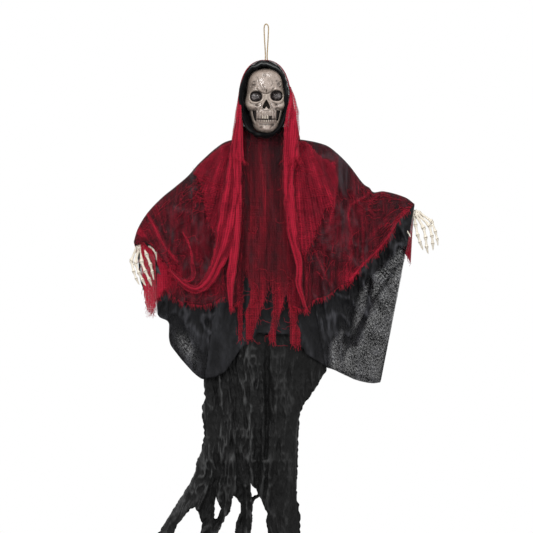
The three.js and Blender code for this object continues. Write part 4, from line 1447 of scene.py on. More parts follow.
@dataclass
class Skull:
    """The moulded skull face and its eyes. Heights are measured up from the chin."""

    chin: float = -273.0
    parting: float = -10.0
    height: float = 165.0
    eye_level: float = 91.3
    eye_x: float = 25.4
    # How far the middle of an eye lies in front of the parting, and its half sizes.
    eye_depth: float = 31.5
    eye_size: Place = (14.2, 7.5, 12.3)
    outline: Pairs = (
        (0, 12), (3, 21), (8, 27), (15, 32), (28, 36), (42, 39.5), (52, 43), (60, 48), (66, 52),
        (74, 55), (84, 53.5), (94, 51), (106, 49.5), (124, 48.5), (136, 46), (144, 42.5), (152, 36),
        (158, 28), (162, 19), (165, 6),
    )
    depth: Pairs = (
        (0, 32), (6, 46), (14, 52), (30, 55), (50, 56), (70, 54), (90, 52), (110, 58), (128, 57.5),
        (142, 53), (152, 44), (160, 28), (165, 8),
    )
    # Half the distance between the two bright bars of the jaw, against height.
    ramus: Pairs = ((18, 24), (24, 28), (29, 31), (40, 34.5), (52, 37), (60, 38))
    # Small flats that catch the lamp as bright dots: x, height, radius.
    flats: Sequence[Place] = (
        (7.2, 148.4, 2.5), (-29.8, 138.2, 1.6), (-13.2, 125.4, 2.0), (-6.8, 121.6, 1.2),
        (-36.2, 125.4, 1.5), (-38.5, 114.5, 1.5), (-33.6, 118.0, 1.1), (24.4, 124.8, 1.5),
        (35.3, 119.0, 1.4), (24.0, 67.0, 1.2), (-14.5, 9.5, 1.1), (29.0, 106.5, 0.9),
    )
    columns: int = 210
    rows: int = 230
    # Small pits in the moulding: x, height, half width, half height, depth.
    pits: Sequence[tuple[float, float, float, float, float]] = (
        (-24, 68, 4.5, 3, 3.4), (24.5, 69, 4.5, 3, 3.4), (-24.5, 58, 5, 3.8, 3.2),
        (24, 58.5, 5, 3.6, 3.2), (-13.8, 13.2, 4, 3.2, 2.6), (15, 18.5, 5.5, 4.2, 3.0),
        (-33, 119, 5, 3.4, 2.4), (-30, 127, 4, 2.6, 1.8), (31, 122, 4.5, 3.6, 2.6),
        (34, 115, 4, 3.2, 2.2), (26, 128, 3, 2.6, 1.6), (-5.5, 142, 1.6, 1.6, 1.0),
    )
    # Furrows and cracks: the line in x and height, width, depth.
    furrows: Sequence[tuple[Pairs, float, float]] = (
        (((-1.5, 97), (-11.5, 99), (-18, 103.5), (-23.4, 109)), 1.8, 2.6),
        (((1.5, 97), (9, 99.5), (14, 104), (18.5, 111)), 2.0, 3.0),
        (((0, 97), (0.5, 106)), 1.5, 2.0),
        (((-17, 118), (-13, 113), (-9, 107)), 1.4, 1.2),
        (((-9, 119), (-6, 112), (-4, 105)), 1.3, 1.1),
        (((-9, 140), (-7, 146), (-3, 146), (-1, 141), (-4, 137)), 1.2, 0.8),
        (((-24, 139), (-19, 132), (-20, 125)), 1.2, 0.7),
        (((12, 116), (16, 122), (14, 130)), 1.2, 0.8),
        (((-41, 75.5), (-33, 71), (-24, 70.5), (-16, 76)), 1.7, 1.6),
        (((41, 76), (33, 71.5), (24, 71), (16, 76)), 1.7, 1.6),
        (((-53, 68), (-48, 60), (-41, 54.5), (-34, 56), (-27, 59.5)), 2.8, 3.2),
        (((53, 70), (46, 60), (40, 57), (34, 58), (27, 61)), 2.8, 3.2),
        (((-12, 72), (-12.8, 62), (-8, 55.5), (0, 54), (8, 55.5), (12.8, 62), (12, 72)), 1.5, 1.3),
        (((-17, 21.5), (0, 20), (18, 21.5)), 2.4, 1.6),
        (((11, 12), (14, 18), (18.5, 21)), 2.0, 1.4),
        (((-21, 51), (-18, 57), (-15, 64)), 1.6, 1.3),
        (((21, 51), (18, 57), (15, 64)), 1.6, 1.3),
    )

    def teeth(self, x: Array, h: Array) -> tuple[Array, Array]:
        """Returns how far the teeth stand out, and how dark the gaps between them are, as painted shade.

        Args:
            x: The points' x.
            h: The points' height above the chin.

        Returns:
            The height of the teeth and a darkness from 0 to 1.
        """
        side = np.abs(x)
        bite = 33.4 - 0.6 * np.cos(x / 9)
        rows = step(h, 25.2, 27.2) * (1 - step(h, 42.2, 44.8)) * (1 - step(side, 22, 26.5))
        upper = h > bite
        place = x / np.where(upper, 6.6, 5.8) + np.where(upper, 0.5, 0.0) + 0.1 * np.sin(x / 5.3)
        across = np.abs(np.cos(math.pi * place)) ** 0.45
        worn = step(side, 9, 17)
        shut = 1 - step(np.abs(h - bite), 0.7, 1.8)
        lost = step(x, 6.4, 7.6) * (1 - step(x, 12.6, 14.2)) * upper * (1 - step(h, 40.5, 42.5))
        stand = rows * ((3.0 - 1.4 * worn) * across * (1 - shut) - 3.0 * shut - 4.5 * lost)
        dark = np.clip((1.25 - 0.6 * worn) * (1 - across) + shut + lost + 0.22 * worn, 0, 1)
        return stand, rows * dark

    def mounds(self, x: Array, h: Array) -> Array:
        """Returns the soft mounds of the face: brow, cheekbones, nose bridge, jaw and chin.

        Args:
            x: The points' x.
            h: The points' height above the chin.

        Returns:
            Their height above the dome.
        """
        side = np.abs(x)
        out = 5.5 * bump(side, 25, 19) * bump(h, 109, 6.0)
        out += 8.0 * bump(side, 43, 12) * bump(h, 66, 8)
        out += 3.0 * bump(side, 47, 7) * bump(h, 82, 11)
        out += 6.5 * bump(x, 0, 6.0) * bump(h, 90, 13)
        out += 3.5 * bump(x, 0, 24) * bump(h, 51, 12)
        out += 6.0 * bump(x, 0, 17) * bump(h, 7, 8)
        out -= 3.0 * bump(side, 45, 8) * bump(h, 114, 14)
        out -= 3.5 * bump(x, 0, 3.2) * bump(h, 103, 6)
        return out

    def relief(self, x: Array, h: Array) -> tuple[Array, Array, Array]:
        """Returns how far the face stands out of its plain dome, its dark paint with painted shade, and its
        painted highlights.

        Args:
            x: The points' x.
            h: The points' height above the chin.

        Returns:
            The height, the dark paint with painted shade, and the painted highlights.
        """
        side = np.abs(x)
        noise, fine = Noise(5), Noise(6)
        level = self.eye_level + np.clip(x / 20, -1, 1)
        socket = oval(side - self.eye_x, h - level, 15.6, 13.6, 2.4)
        half = 9.8 * np.clip((82.6 - h) / 17, 0, 1) ** 0.8
        nose = step(half - side, 0, 1.8) * step(h - 58.5 - 5.5 * bump(x, 0.2, 2.6), 0, 2.4)
        bar = side - Curve(self.ramus)(h)
        slot = step(side, 24.2, 26.4) * (1 - step(bar, -4.2, -2.2)) * step(h, 27, 33) * (1 - step(h, 53, 58))
        beyond = step(bar, 1.6, 3.8) * step(h, 17, 26) * (1 - step(h, 54, 60))
        ramus = bump(bar, -0.3, 1.9) * step(h, 19, 27) * (1 - step(h, 52, 58))
        roots = step(h, 43, 46) * (1 - step(h, 50, 58)) * (1 - step(side, 18, 25))
        bulge = np.abs(np.sin(math.pi * x / 6.6))
        stand, gaps = self.teeth(x, h)
        out = self.mounds(x, h) - 17 * (1 - step(socket, 0.76, 1.0))
        out = out - 13 * nose - 12 * slot - 5 * beyond + stand
        out += 1.8 * bump(socket, 1.14, 0.13) + 2.2 * ramus + 1.5 * bulge * roots
        out += 1.2 * bump(half - side, -2.0, 1.6) * step(h, 57, 64) * (1 - step(h, 80, 86))
        # Painted shade, laid with the dark paint: the sockets, the nose, the slots beside the teeth, the gaps
        # between them, the sides beyond the jaw's bars and the valleys between the roots; the pits and
        # furrows below are darkened the same way.
        wash = darkest(
            step(1.04 - socket, 0, 0.12), step(nose, 0.1, 0.6), step(slot, 0.12, 0.6), 0.95 * gaps,
            0.88 * beyond, 0.4 * roots * (1 - bulge) ** 2,
        )
        for centre, middle, half_x, half_h, deep in self.pits:
            close = bump(x, centre, half_x) * bump(h, middle, half_h)
            out -= deep * close * (1 + 0.5 * fine(x / 2.4, h / 2.4))
            wash = np.maximum(wash, 0.75 * close)
        for line, width, deep in self.furrows:
            close = near(x, h, line, width)
            out -= deep * close
            wash = np.maximum(wash, 0.62 * close)
        temple = step(side, 22, 28) * (1 - step(side, 39, 44)) * step(h, 106, 113) * (1 - step(h, 126, 132))
        out += temple * (1.1 * noise(x / 4.2, h / 3.6) + 0.8 * fine(x / 2, h / 2))
        out += 0.4 * noise(x / 8, h / 8) + 0.22 * fine(x / 3, h / 3)
        wash = np.maximum(wash, temple * (0.3 + 0.36 * fine(x / 4, h / 4)))
        # Painted shade towards the outline at the temples and all round it, and a painted shadow of the hood
        # over the crown.
        edge = side / np.maximum(Curve(self.outline)(h), 6)
        rim, crown = 0.2 * step(edge, 0.95, 1.0), 0.42 * step(h, 150, 165)
        wash = darkest(wash, 0.4 * step(edge, 0.84, 1.0) * step(h, 116, 136), rim, crown)
        # Painted highlights: the front teeth, the bridge between the eyes, the jaw's bars, the cheekbones and
        # the rims of the sockets.
        pale = 0.95 * step(h, 34.4, 35.4) * (1 - step(h, 41, 42.5)) * (side < 10) * (1 - gaps)
        pale += 0.5 * step(h, 26, 27) * (1 - step(h, 31.6, 32.6)) * (side < 9) * (1 - gaps)
        pale += 0.5 * bump(x, 0, 3.2) * bump(h, 88, 12) + 0.45 * ramus
        pale += 0.4 * bump(side, 45, 8) * bump(h, 67, 7) + 0.35 * bump(socket, 1.16, 0.1)
        return out, wash, np.clip(pale, 0, 1)

    def face(self) -> Piece:
        """Makes the face: a relief over a dome, closed by a flat back.

        Returns:
            The new object.
        """
        angle = np.linspace(-0.5, 0.5, self.columns + 1)[None, :] * math.pi
        h = np.linspace(0, self.height, self.rows + 1)[:, None] + 0 * angle
        x = Curve(self.outline)(h) * np.sin(angle)
        out = np.clip(np.cos(angle), 0, 1) ** 0.8
        relief, wash, pale = self.relief(x, h)
        depth = np.maximum(Curve(self.depth)(h) * out + relief * out ** 0.4, 1.0)
        for flat_x, flat_h, radius in self.flats:
            away = np.hypot(x - flat_x, h - flat_h)
            # Each flat faces half way from the camera to the lamp that makes its dot of light.
            rise, turn = 0.1475 + 0.00017 * (143 - flat_h), 0.00018 * flat_x - 0.0583
            flat = depth.flat[away.argmin()] + turn * (x - flat_x) - rise * (h - flat_h)
            depth = mix(flat, depth, step(away, 0.7 * radius, 1.25 * radius))
        depth[:, [0, -1]] = 0.0
        points = np.stack([x, self.parting - 0.15 - depth, self.chin + h], axis=-1)
        ring = np.arange(h.size).reshape(h.shape)
        quads = np.stack([ring[:-1, :-1], ring[:-1, 1:], ring[1:, 1:], ring[1:, :-1]], axis=-1).reshape(-1, 4)
        back = np.stack([ring[:-1, 0], ring[1:, 0], ring[1:, -1], ring[:-1, -1]], axis=-1)
        faces = [*quads.tolist(), *back.tolist(), ring[0].tolist(), ring[-1, ::-1].tolist()]
        piece = new_mesh("skull_face_shell", points.reshape(-1, 3), faces)
        add_attribute(piece, "wash", wash)
        add_attribute(piece, "pale", pale)
        outward(piece)
        shade_smooth(piece)
        # Painted shade: every hollow of the surface is darkened by how deep it is.
        deepest = np.maximum(vertex_numbers(piece, "wash"), 0.85 * hollows(piece, 14, 1.3))
        add_attribute(piece, "wash", np.clip(deepest, 0, 1))
        return piece

    def eye(self, side: int) -> Piece:
        """Makes one glossy dome bedded in its socket.

        Args:
            side: -1 for the left socket, 1 for the right one.

        Returns:
            The new object.
        """
        place = (side * self.eye_x, self.parting - self.eye_depth, self.chin + self.eye_level + side)
        centre = tuple(part * MM for part in place)
        deselect()
        bpy.ops.mesh.primitive_uv_sphere_add(segments=48, ring_count=24, radius=1.0)
        piece = bpy.context.object
        piece.name = "eye_dome_left" if side < 0 else "eye_dome_right"
        piece.location = centre
        piece.scale = tuple(size * MM for size in self.eye_size)
        settle(piece)
        shade_smooth(piece)
        places = vertex_places(piece) - np.array(centre) / MM
        rim = np.hypot(places[:, 0] / self.eye_size[0], places[:, 2] / self.eye_size[2])
        # Painted shade round the dome's rim, where it sinks into its socket.
        add_attribute(piece, "wash", step(rim, 0.8, 0.97))
        return piece

    def build(self, wardrobe: Wardrobe, nodes: Mapping[str, Piece]) -> None:
        """Makes the face and the eyes, and repaints the back of the skull.

        Args:
            wardrobe: The maker of the finishes.
            nodes: The solids of the frame, by name.
        """
        wardrobe.fit(self.face(), Fabric.SKULL, "skull_face", "figure")
        for side, node in ((-1, "left_eye"), (1, "right_eye")):
            wardrobe.fit(self.eye(side), Fabric.EYE, node, "figure")
        wardrobe.repaint(nodes["skull_back"], Fabric.SKULL)
        LOG.info("skull: face, two eyes, back")


@dataclass
class ArmFrame:
    """The dowel, the bendable wires and the foam tubes inside the figure."""

    foam_radius: float = 10.0
    bore: float = 4.0
    stations: int = 40
    sides: int = 24

    def foam(self, name: str, line: Pairs, start: float, end: float) -> Piece:
        """Makes a foam tube round a wire, with a bore and softly uneven walls.

        Args:
            name: The new object's name.
            line: The wire's middle line, as (x, z).
            start: The share of the line where the tube starts.
            end: Where it ends.

        Returns:
            The new object.
        """
        middle = Line([(x, 0.0, z) for x, z in line])(np.linspace(start, end, self.stations))
        along = np.gradient(middle, axis=0)
        along /= np.linalg.norm(along, axis=1, keepdims=True)
        level = np.array([0.0, 1.0, 0.0])
        up = np.cross(along, level)
        angle = np.linspace(0, 2 * math.pi, self.sides, endpoint=False)[None, :]
        uneven = 0.25 * Noise(31)(np.arange(self.stations)[:, None] / 3, angle * 2)
        walls = []
        for radius in (self.foam_radius, self.bore):
            reach = (radius + uneven)[..., None]
            round_wire = up[:, None] * np.cos(angle)[..., None] + level * np.sin(angle)[..., None]
            walls.append(middle[:, None] + round_wire * reach)
        loop = np.concatenate([walls[0], walls[1][::-1]])
        ring = np.arange(loop.shape[0] * self.sides).reshape(-1, self.sides)
        after, turned = np.roll(ring, -1, axis=0), np.roll(ring, -1, axis=1)
        faces = np.stack([ring, turned, np.roll(after, -1, axis=1), after], axis=-1).reshape(-1, 4).tolist()
        piece = new_mesh(name, loop.reshape(-1, 3), faces)
        outward(piece)
        shade_smooth(piece)
        return piece

    def build(self, wardrobe: Wardrobe, nodes: Mapping[str, Piece]) -> None:
        """Repaints the dowel and the wires and makes the foam tubes.

        Args:
            wardrobe: The maker of the finishes.
            nodes: The solids of the frame, by name.
        """
        wardrobe.repaint(nodes["neck_post"], Fabric.DOWEL)
        for name in ("shoulder_wire", "left_arm_wire", "right_arm_wire"):
            wardrobe.repaint(nodes[name], Fabric.WIRE)
        for arm in (LEFT_ARM, RIGHT_ARM):
            across = ((arm.sign * 9, -308), (arm.sign * 48, -308), (arm.sign * 88, -308))
            tubes = (
                (f"{arm.side}_shoulder_foam", across, 0.0, 1.0, "figure"),
                (f"{arm.side}_arm_foam", arm.centre, 0.075, 0.94, f"{arm.side}_arm"),
            )
            for node, line, start, end, body in tubes:
                tube = self.foam(node + "_tube", line, start, end)
                wardrobe.fit(tube, Fabric.FOAM, node, body)
        LOG.info("arm frame: dowel, wires, four foam tubes")


@dataclass
class SkeletonHand:
    """A moulded skeleton hand that hangs from its wrist ring, with its thumb towards +X before mirroring."""

    arm: ArmLayout
    mirrored: bool
    lean: float
    digits: Sequence[tuple[float, Sequence[Place]]] = (
        (5.0, ((6, -2, -9), (22, -7, -13), (39, -12, -32), (41, -15, -54))),
        (5.2, ((4, -2, -14), (14, -7, -36), (24, -13, -61), (28.2, -12, -78), (32.2, -8, -98))),
        (5.4, ((-1, -2, -16), (1.5, -8, -54), (10.7, -14, -77), (21, -13, -97), (26.7, -8, -113))),
        (5.2, ((-6, -2, -16), (-14, -7, -57), (-5, -13, -82), (3.2, -12, -98), (11.7, -8, -113))),
        (4.7, ((-10, -1, -14), (-25, -4, -51), (-18, -10, -78), (-12, -11, -95), (-5, -8, -110))),
    )
    # A bone's radius against the share of its length, for the shafts and for the pointed tips.
    shaft: Pairs = (
        (0.0, -0.07), (0.7, -0.05), (1.12, 0.0), (1.2, 0.05), (0.95, 0.12), (0.72, 0.22), (0.62, 0.5),
        (0.66, 0.74), (0.86, 0.86), (1.1, 0.93), (1.05, 0.99), (0.6, 1.04), (0.0, 1.06),
    )
    tip: Pairs = (
        (0.0, -0.07), (0.7, -0.05), (1.15, 0.0), (1.2, 0.07), (0.95, 0.18), (0.72, 0.34), (0.66, 0.55),
        (0.5, 0.8), (0.28, 1.0), (0.0, 1.1),
    )
    # The wrist's small bones: x, y, z, radius.
    wrist: Sequence[tuple[float, float, float, float]] = (
        (-6, -1, -10, 5.6), (1, -2, -9, 5.4), (-3, -2, -15, 5.8), (4, -2, -13, 4.8), (-8, -1, -14, 4.6),
    )

    def template(self, profile: Pairs) -> Piece:
        """Turns one bone of length 1 and knuckle radius 1 by spinning its profile about Z.

        Args:
            profile: The bone's outline, as (height, radius).

        Returns:
            The new object.
        """
        mesh = bpy.data.meshes.new("bone")
        chain = [(k, k + 1) for k in range(len(profile) - 1)]
        mesh.from_pydata([(radius, 0.0, at) for radius, at in profile], chain, [])
        piece = bpy.data.objects.new("bone", mesh)
        bpy.context.scene.collection.objects.link(piece)
        pick(piece)
        bpy.ops.object.mode_set(mode="EDIT")
        bpy.ops.mesh.select_all(action="SELECT")
        bpy.ops.mesh.spin(steps=12, angle=2 * math.pi, center=(0, 0, 0), axis=(0, 0, 1))
        bpy.ops.mesh.select_all(action="SELECT")
        bpy.ops.mesh.remove_doubles(threshold=1e-4)
        bpy.ops.mesh.normals_make_consistent(inside=False)
        bpy.ops.object.mode_set(mode="OBJECT")
        return piece

    def bone(self, template: Piece, start: Place, end: Place, radius: float) -> Piece:
        """Copies the template between two joints.

        Args:
            template: The bone of length 1.
            start: The joint nearer the wrist.
            end: The joint nearer the tip.
            radius: The radius of its knuckle.

        Returns:
            The new object.
        """
        first, last = Vector(start) * MM, Vector(end) * MM
        along = last - first
        piece = template.copy()
        piece.data = template.data.copy()
        bpy.context.scene.collection.objects.link(piece)
        turn = along.to_track_quat("Z", "Y").to_matrix().to_4x4()
        size = Matrix.Diagonal((radius * MM, radius * MM, along.length, 1.0))
        piece.data.transform(Matrix.Translation(first) @ turn @ size)
        return piece

    def bones(self) -> list[Piece]:
        """Makes every bone, the wrist's small bones and the wrist ring.

        Returns:
            The objects, ready to be joined.
        """
        shaft, tip = self.template(self.shaft), self.template(self.tip)
        parts = []
        for radius, joints in self.digits:
            for k, (start, end) in enumerate(zip(joints, joints[1:])):
                last = k == len(joints) - 2
                parts.append(self.bone(tip if last else shaft, start, end, radius * (1 - 0.07 * k)))
        for x, y, z, size in self.wrist:
            place = (x * MM, y * MM, z * MM)
            bpy.ops.mesh.primitive_uv_sphere_add(segments=20, ring_count=12, radius=size * MM, location=place)
            parts.append(settle(bpy.context.object))
        bpy.ops.mesh.primitive_torus_add(
            major_segments=32, minor_segments=12, major_radius=4.2 * MM, minor_radius=1.3 * MM,
            rotation=(math.pi / 2, 0, 0),
        )
        parts.append(settle(bpy.context.object))
        for made in (shaft, tip):
            bpy.data.objects.remove(made)
        return parts

    def joints(self, places: Array) -> Array:
        """Returns 1 in the dark seam at each knuckle, where one bone meets the next.

        Args:
            places: The points to look at.

        Returns:
            The darkness of each point.
        """
        dark = np.zeros(len(places))
        for radius, line in self.digits:
            for before, knuckle in zip(line[:-2], line[1:-1]):
                along = np.array(knuckle, float) - before
                offset = places - knuckle
                level = offset @ (along / np.linalg.norm(along))
                close = np.linalg.norm(offset, axis=1) < 1.8 * radius
                dark = np.maximum(dark, close * bump(level, 0.3, 0.9))
        return dark

    def build(self, wardrobe: Wardrobe) -> None:
        """Joins the bones, the wrist and its ring into one moulding.

        Args:
            wardrobe: The maker of the finishes.
        """
        hand = joined(self.bones(), f"{self.arm.side}_hand_bones")
        apply_modifier(hand, "REMESH", mode="VOXEL", voxel_size=0.85 * MM)
        places = vertex_places(hand)
        seams = self.joints(places)
        swell = 0.28 * Noise(77)(places[:, 0] / 3.5, places[:, 2] / 4.5 + places[:, 1])
        places = (places + vertex_vectors(hand, "normal") * (swell - 0.7 * seams)[:, None]) * MM
        hand.data.vertices.foreach_set("co", places.ravel())
        add_attribute(hand, "wash", seams)
        x, z = self.arm.centre[-1]
        turn = Matrix.Rotation(math.radians(self.lean), 4, "Y")
        flip = Matrix.Diagonal((-1.0 if self.mirrored else 1.0, 1.0, 1.0, 1.0))
        hand.data.transform(Matrix.Translation((x * MM, 0, z * MM)) @ turn @ flip)
        outward(hand)
        shade_smooth(hand)
        # Painted shade in the hollows between the bones, over the dark seams of the knuckles.
        add_attribute(hand, "wash", np.maximum(0.75 * vertex_numbers(hand, "wash"), hollows(hand, 8, 0.42)))
        carrier = f"{self.arm.side}_hand"
        wardrobe.fit(hand, Fabric.HAND, carrier, carrier)
        LOG.info("%s: %d vertices", hand.name, len(hand.data.vertices))


@dataclass
class HeadCloth:
    """The satin hood with its padded rim, and the crown of the gauze veil over it."""

    centre: Place = (-5.8, -20, -187)
    half_width: float = 60.5
    length: float = 88
    up: float = 94
    down: float = 99
    squareness: float = 2.25
    rim: float = -47
    lining: float = -15
    hole: tuple[float, float] = (7.2, 7.4)
    veil_gap: float = 3.4
    veil_shift: float = 2.0

    def wall(self, angle: Array, y: Array) -> Array:
        """Returns x and z of the hood's wall at an angle round its long axis and a place along it.

        Args:
            angle: The angle round the axis, in radians.
            y: The place along the axis.

        Returns:
            The wall's points.
        """
        along = (y - self.centre[1]) / self.length
        size = np.sqrt(np.maximum(0, 1 - along * along))
        tall = np.where(np.sin(angle) > 0, self.up - 4.5 * step(-y, 18, 45), self.down)
        cos, sin = np.cos(angle), np.sin(angle)
        square = (np.abs(cos) ** self.squareness + np.abs(sin) ** self.squareness) ** (-1 / self.squareness)
        x = self.centre[0] + self.half_width * cos * square * size
        z = self.centre[2] + tall * sin * square * size
        return np.stack([x, z], axis=-1)

    def skull_edge(self, angle: Array) -> Array:
        """Returns x and z of the skull's outline at each angle round the hood's axis.

        Args:
            angle: The angle round the axis, in radians.

        Returns:
            The outline's points.
        """
        outline = Curve(Skull().outline)
        reach = np.linspace(20, 110, 181)[:, None]
        x = self.centre[0] + reach * np.cos(angle)
        z = self.centre[2] + reach * np.sin(angle)
        h = z - Skull().chin
        held = (np.abs(x) < outline(h)) & (h > 0) & (h < Skull().height)
        far = reach[180 - held[::-1].argmax(axis=0), 0] + 1.0
        return np.stack([self.centre[0] + far * np.cos(angle), self.centre[2] + far * np.sin(angle)], axis=-1)

    def hood(self) -> Cloth:
        """Builds the hood: a lining from the skull to the rim, a soft rim and the bag behind it.

        Returns:
            The sheet's grid.
        """
        columns, rows = 180, 96
        noise, fine = Noise(41), Noise(42)
        angle = (-0.5 + 2 * np.linspace(0, 1, columns + 1)) * math.pi
        p = np.linspace(0, 1, rows + 1)
        cos, sin = np.cos(angle), np.sin(angle)
        edge, rim = self.skull_edge(angle), self.wall(angle, np.full_like(angle, self.rim))
        away = rim - np.array([self.centre[0], self.centre[2]])
        away /= np.linalg.norm(away, axis=1, keepdims=True)
        soft = 2.6 * noise(cos * 3.1 + 7, sin * 3.1 + 9) + 1.5 * fine(cos * 8 + 20, sin * 8 + 20)
        soft *= 1 - 0.6 * step(cos, 0.1, 0.7)
        swell = 4.6 * step(-cos, 0.2, 0.8) + 2.2 * step(cos, 0.2, 0.8)
        thick = 3.5 + 0.7 * noise(cos * 5 + 60, sin * 5 + 60)
        points = np.zeros((rows + 1, columns + 1, 3))
        for row, share in enumerate(p):
            if share < 0.24:
                t = share / 0.24
                flat = mix(edge, rim - away * (2 * thick)[:, None], smooth(t))
                lift = 1.4 * math.sin(math.pi * t) * fine(cos * 9 + 3, sin * 9 + t * 2)
                flat = flat + away * lift[:, None]
                y = np.full_like(angle, mix(self.lining, self.rim - 1, t))
            elif share < 0.4:
                turn = (share - 0.24) / 0.16 * math.pi
                flat = rim - away * (thick * (1 + math.cos(turn)))[:, None]
                y = self.rim - 1 - thick * math.sin(turn) * 1.1
            else:
                y = np.full_like(angle, mix(self.rim, 67.95, ((share - 0.4) / 0.6) ** 0.9))
                flat = self.wall(angle, y)
            loose = float(step(share, 0, 0.15) * (1 - 0.7 * step(share, 0.5, 0.8)))
            flat = flat + away * (soft * loose + swell * float(bump(share, 0.33, 0.1)))[:, None]
            y = y + 0.9 * loose * fine(cos * 7 + 11, sin * 7 + share * 8)
            points[row] = np.stack([flat[:, 0], y, flat[:, 1]], axis=-1)
        wrinkle = fine.ridges(angle[None, :] * 5.5 + 50, p[:, None] * 5) * step(p, 0.4, 0.5)[:, None]
        points[..., [0, 2]] += away[None] * (1.1 * wrinkle)[..., None]
        points[-1] = points[-1].mean(axis=0)
        points[:, -1] = points[:, 0]
        middle = (points[1:, 1:] + points[:-1, :-1]) / 2
        low = (angle[:-1] < -0.2 * math.pi) | (angle[:-1] > 1.2 * math.pi)
        neck = low[None, :] & (middle[..., 1] > -28) & (p[:-1, None] > 0.42)
        crown = (middle[..., 0] / self.hole[0]) ** 2 + (middle[..., 1] / self.hole[1]) ** 2 < 1
        kept = ~(neck | (crown & (middle[..., 2] > self.centre[2])))
        # Painted sheen: a grey band along the top of the rim's outer roll, where the lamp above lights it,
        # and a faint patchy one just inside it all round.
        lit = step(sin, 0.5, 0.95) * (0.85 + 0.3 * fine(cos * 6, sin * 6))
        sheen = bump(p, 0.385, 0.03)[:, None] * lit[None]
        sheen += 0.12 * bump(p, 0.34, 0.04)[:, None] * step(fine(cos * 4 + 30, sin * 4), 0.1, 0.7)[None]
        gather = np.ones(points.shape[:2])
        return Cloth("hood_satin", points, flat_cut(points), gather, kept, ease=2, crest=sheen)

    def dome(self, turn: Array, tilt: Array, grow: float) -> Array:
        """Returns the veil's dome by degrees round from the back and degrees down from the crown.

        Args:
            turn: Degrees round from the back.
            tilt: Degrees down from the crown.
            grow: How much larger than the hood.

        Returns:
            The dome's points.
        """
        away = np.sin(np.radians(tilt))
        x, y = away * np.sin(np.radians(turn)), away * np.cos(np.radians(turn))
        z = np.cos(np.radians(tilt))
        wide, tall = np.abs(x / (self.half_width + grow)), np.abs(z / (self.up + grow))
        flat = wide ** self.squareness + tall ** self.squareness
        size = 1 / np.sqrt(flat ** (2 / self.squareness) + (y / (self.length + grow)) ** 2)
        middle = np.array(self.centre) + (self.veil_shift, 0, 0)
        return middle + np.stack(np.broadcast_arrays(x * size, y * size, z * size), axis=-1)

    def veil(self) -> Cloth:
        """Builds the veil's crown, its sides down to the shoulders and the sheet down the back.

        Returns:
            The sheet's grid.
        """
        columns, rows = 150, 170
        noise, fine = Noise(51), Noise(52)
        column = np.linspace(0, 27, columns + 1)[None, :]
        row = np.linspace(0, 13, rows + 1)[:, None]
        turn = Curve([(0, -113), (6, -98), (9, -74), (18, 74), (21, 98), (27, 113)])(column)
        shoulder_x = Curve([
            (0, -58), (6, -76), (7.5, -81), (9, -79), (13.5, 0), (18, 80), (19.5, 83), (21, 78),
            (27, 45),
        ])(column)
        shoulder_y = Curve([
            (0, -57), (6, -52), (7.5, 0), (9, 55), (13.5, 62), (18, 55), (19.5, 0), (21, -52),
            (27, -57),
        ])(column)
        top = self.dome(turn, 19.2 * np.minimum(row, 5), self.veil_gap)
        share = np.clip((row - 5) / 2, 0, 1)
        part = np.clip((row - 7) / 6, 0, 1)
        x = mix(top[..., 0], shoulder_x * (1 + 0.3 * part), share)
        y = mix(top[..., 1], shoulder_y + 3 * part, share)
        dip = 48 * step(np.abs(shoulder_y), 16, 50) + 5 * noise(column * 1.7, 8.5)
        z = mix(top[..., 2], mix(-284 - dip, -646, part), share)
        x = x + 4 * step(column, 17, 21) * step(row, 3, 4.5) * (1 - step(row, 5.5, 7))
        folds = noise.ridges(column * 1.25, row * 0.22) + 0.5 * fine.ridges(column * 2.9, row * 0.5)
        grown = 3.6 * step(row, 2.0, 7.0) * folds + 0.5 * fine(column * 6, row * 6) * step(row, 0.5, 1.5)
        away = np.stack([x - self.centre[0], y - self.centre[1]], axis=-1)
        away /= np.maximum(np.linalg.norm(away, axis=-1, keepdims=True), 1e-6)
        x, y = x + away[..., 0] * grown, y + away[..., 1] * grown
        points = np.stack([x, y, z + 4 * noise(column * 2, 3.3) * step(part, 0.8, 1)], axis=-1)
        hanging = (row[:-1] < 7) | ((column[:, :-1] >= 9) & (column[:, :-1] < 18))
        crown = (points[:-1, :-1, 0] / self.hole[0]) ** 2 + (points[:-1, :-1, 1] / self.hole[1]) ** 2 < 1
        edges = 0.25 * (1 - step(column, 0, 0.7)) + 0.25 * step(column, 26.3, 27)
        sides = step(row, 4.6, 6.2) * np.where((column < 8) | (column > 19), 0.34, 0.22)
        gather = 0.78 + 0.14 * folds * step(row, 3, 7) + edges + sides
        return Cloth("veil_crown", points, flat_cut(points), gather, hanging & ~(crown & (row[:-1] < 2)))

    def build(self, wardrobe: Wardrobe) -> None:
        """Makes the hood and the veil's crown.

        Args:
            wardrobe: The maker of the finishes.
        """
        carry = rider("figure")
        hood = self.hood()
        piece = hood.make()
        hood.hang(piece, wardrobe, Fabric.HOOD_SATIN, "hood", carry, "gathered", "skull_face_shell")
        veil = self.veil()
        piece = veil.make()
        fringe = Fringe(53).along_edge(veil, "veil_back_fringe", 260, (8, 26))
        veil.hang(piece, wardrobe, Fabric.RED_GAUZE, "veil", carry, "draped", "hood_satin", [fringe])
        LOG.info("head: hood and veil crown")


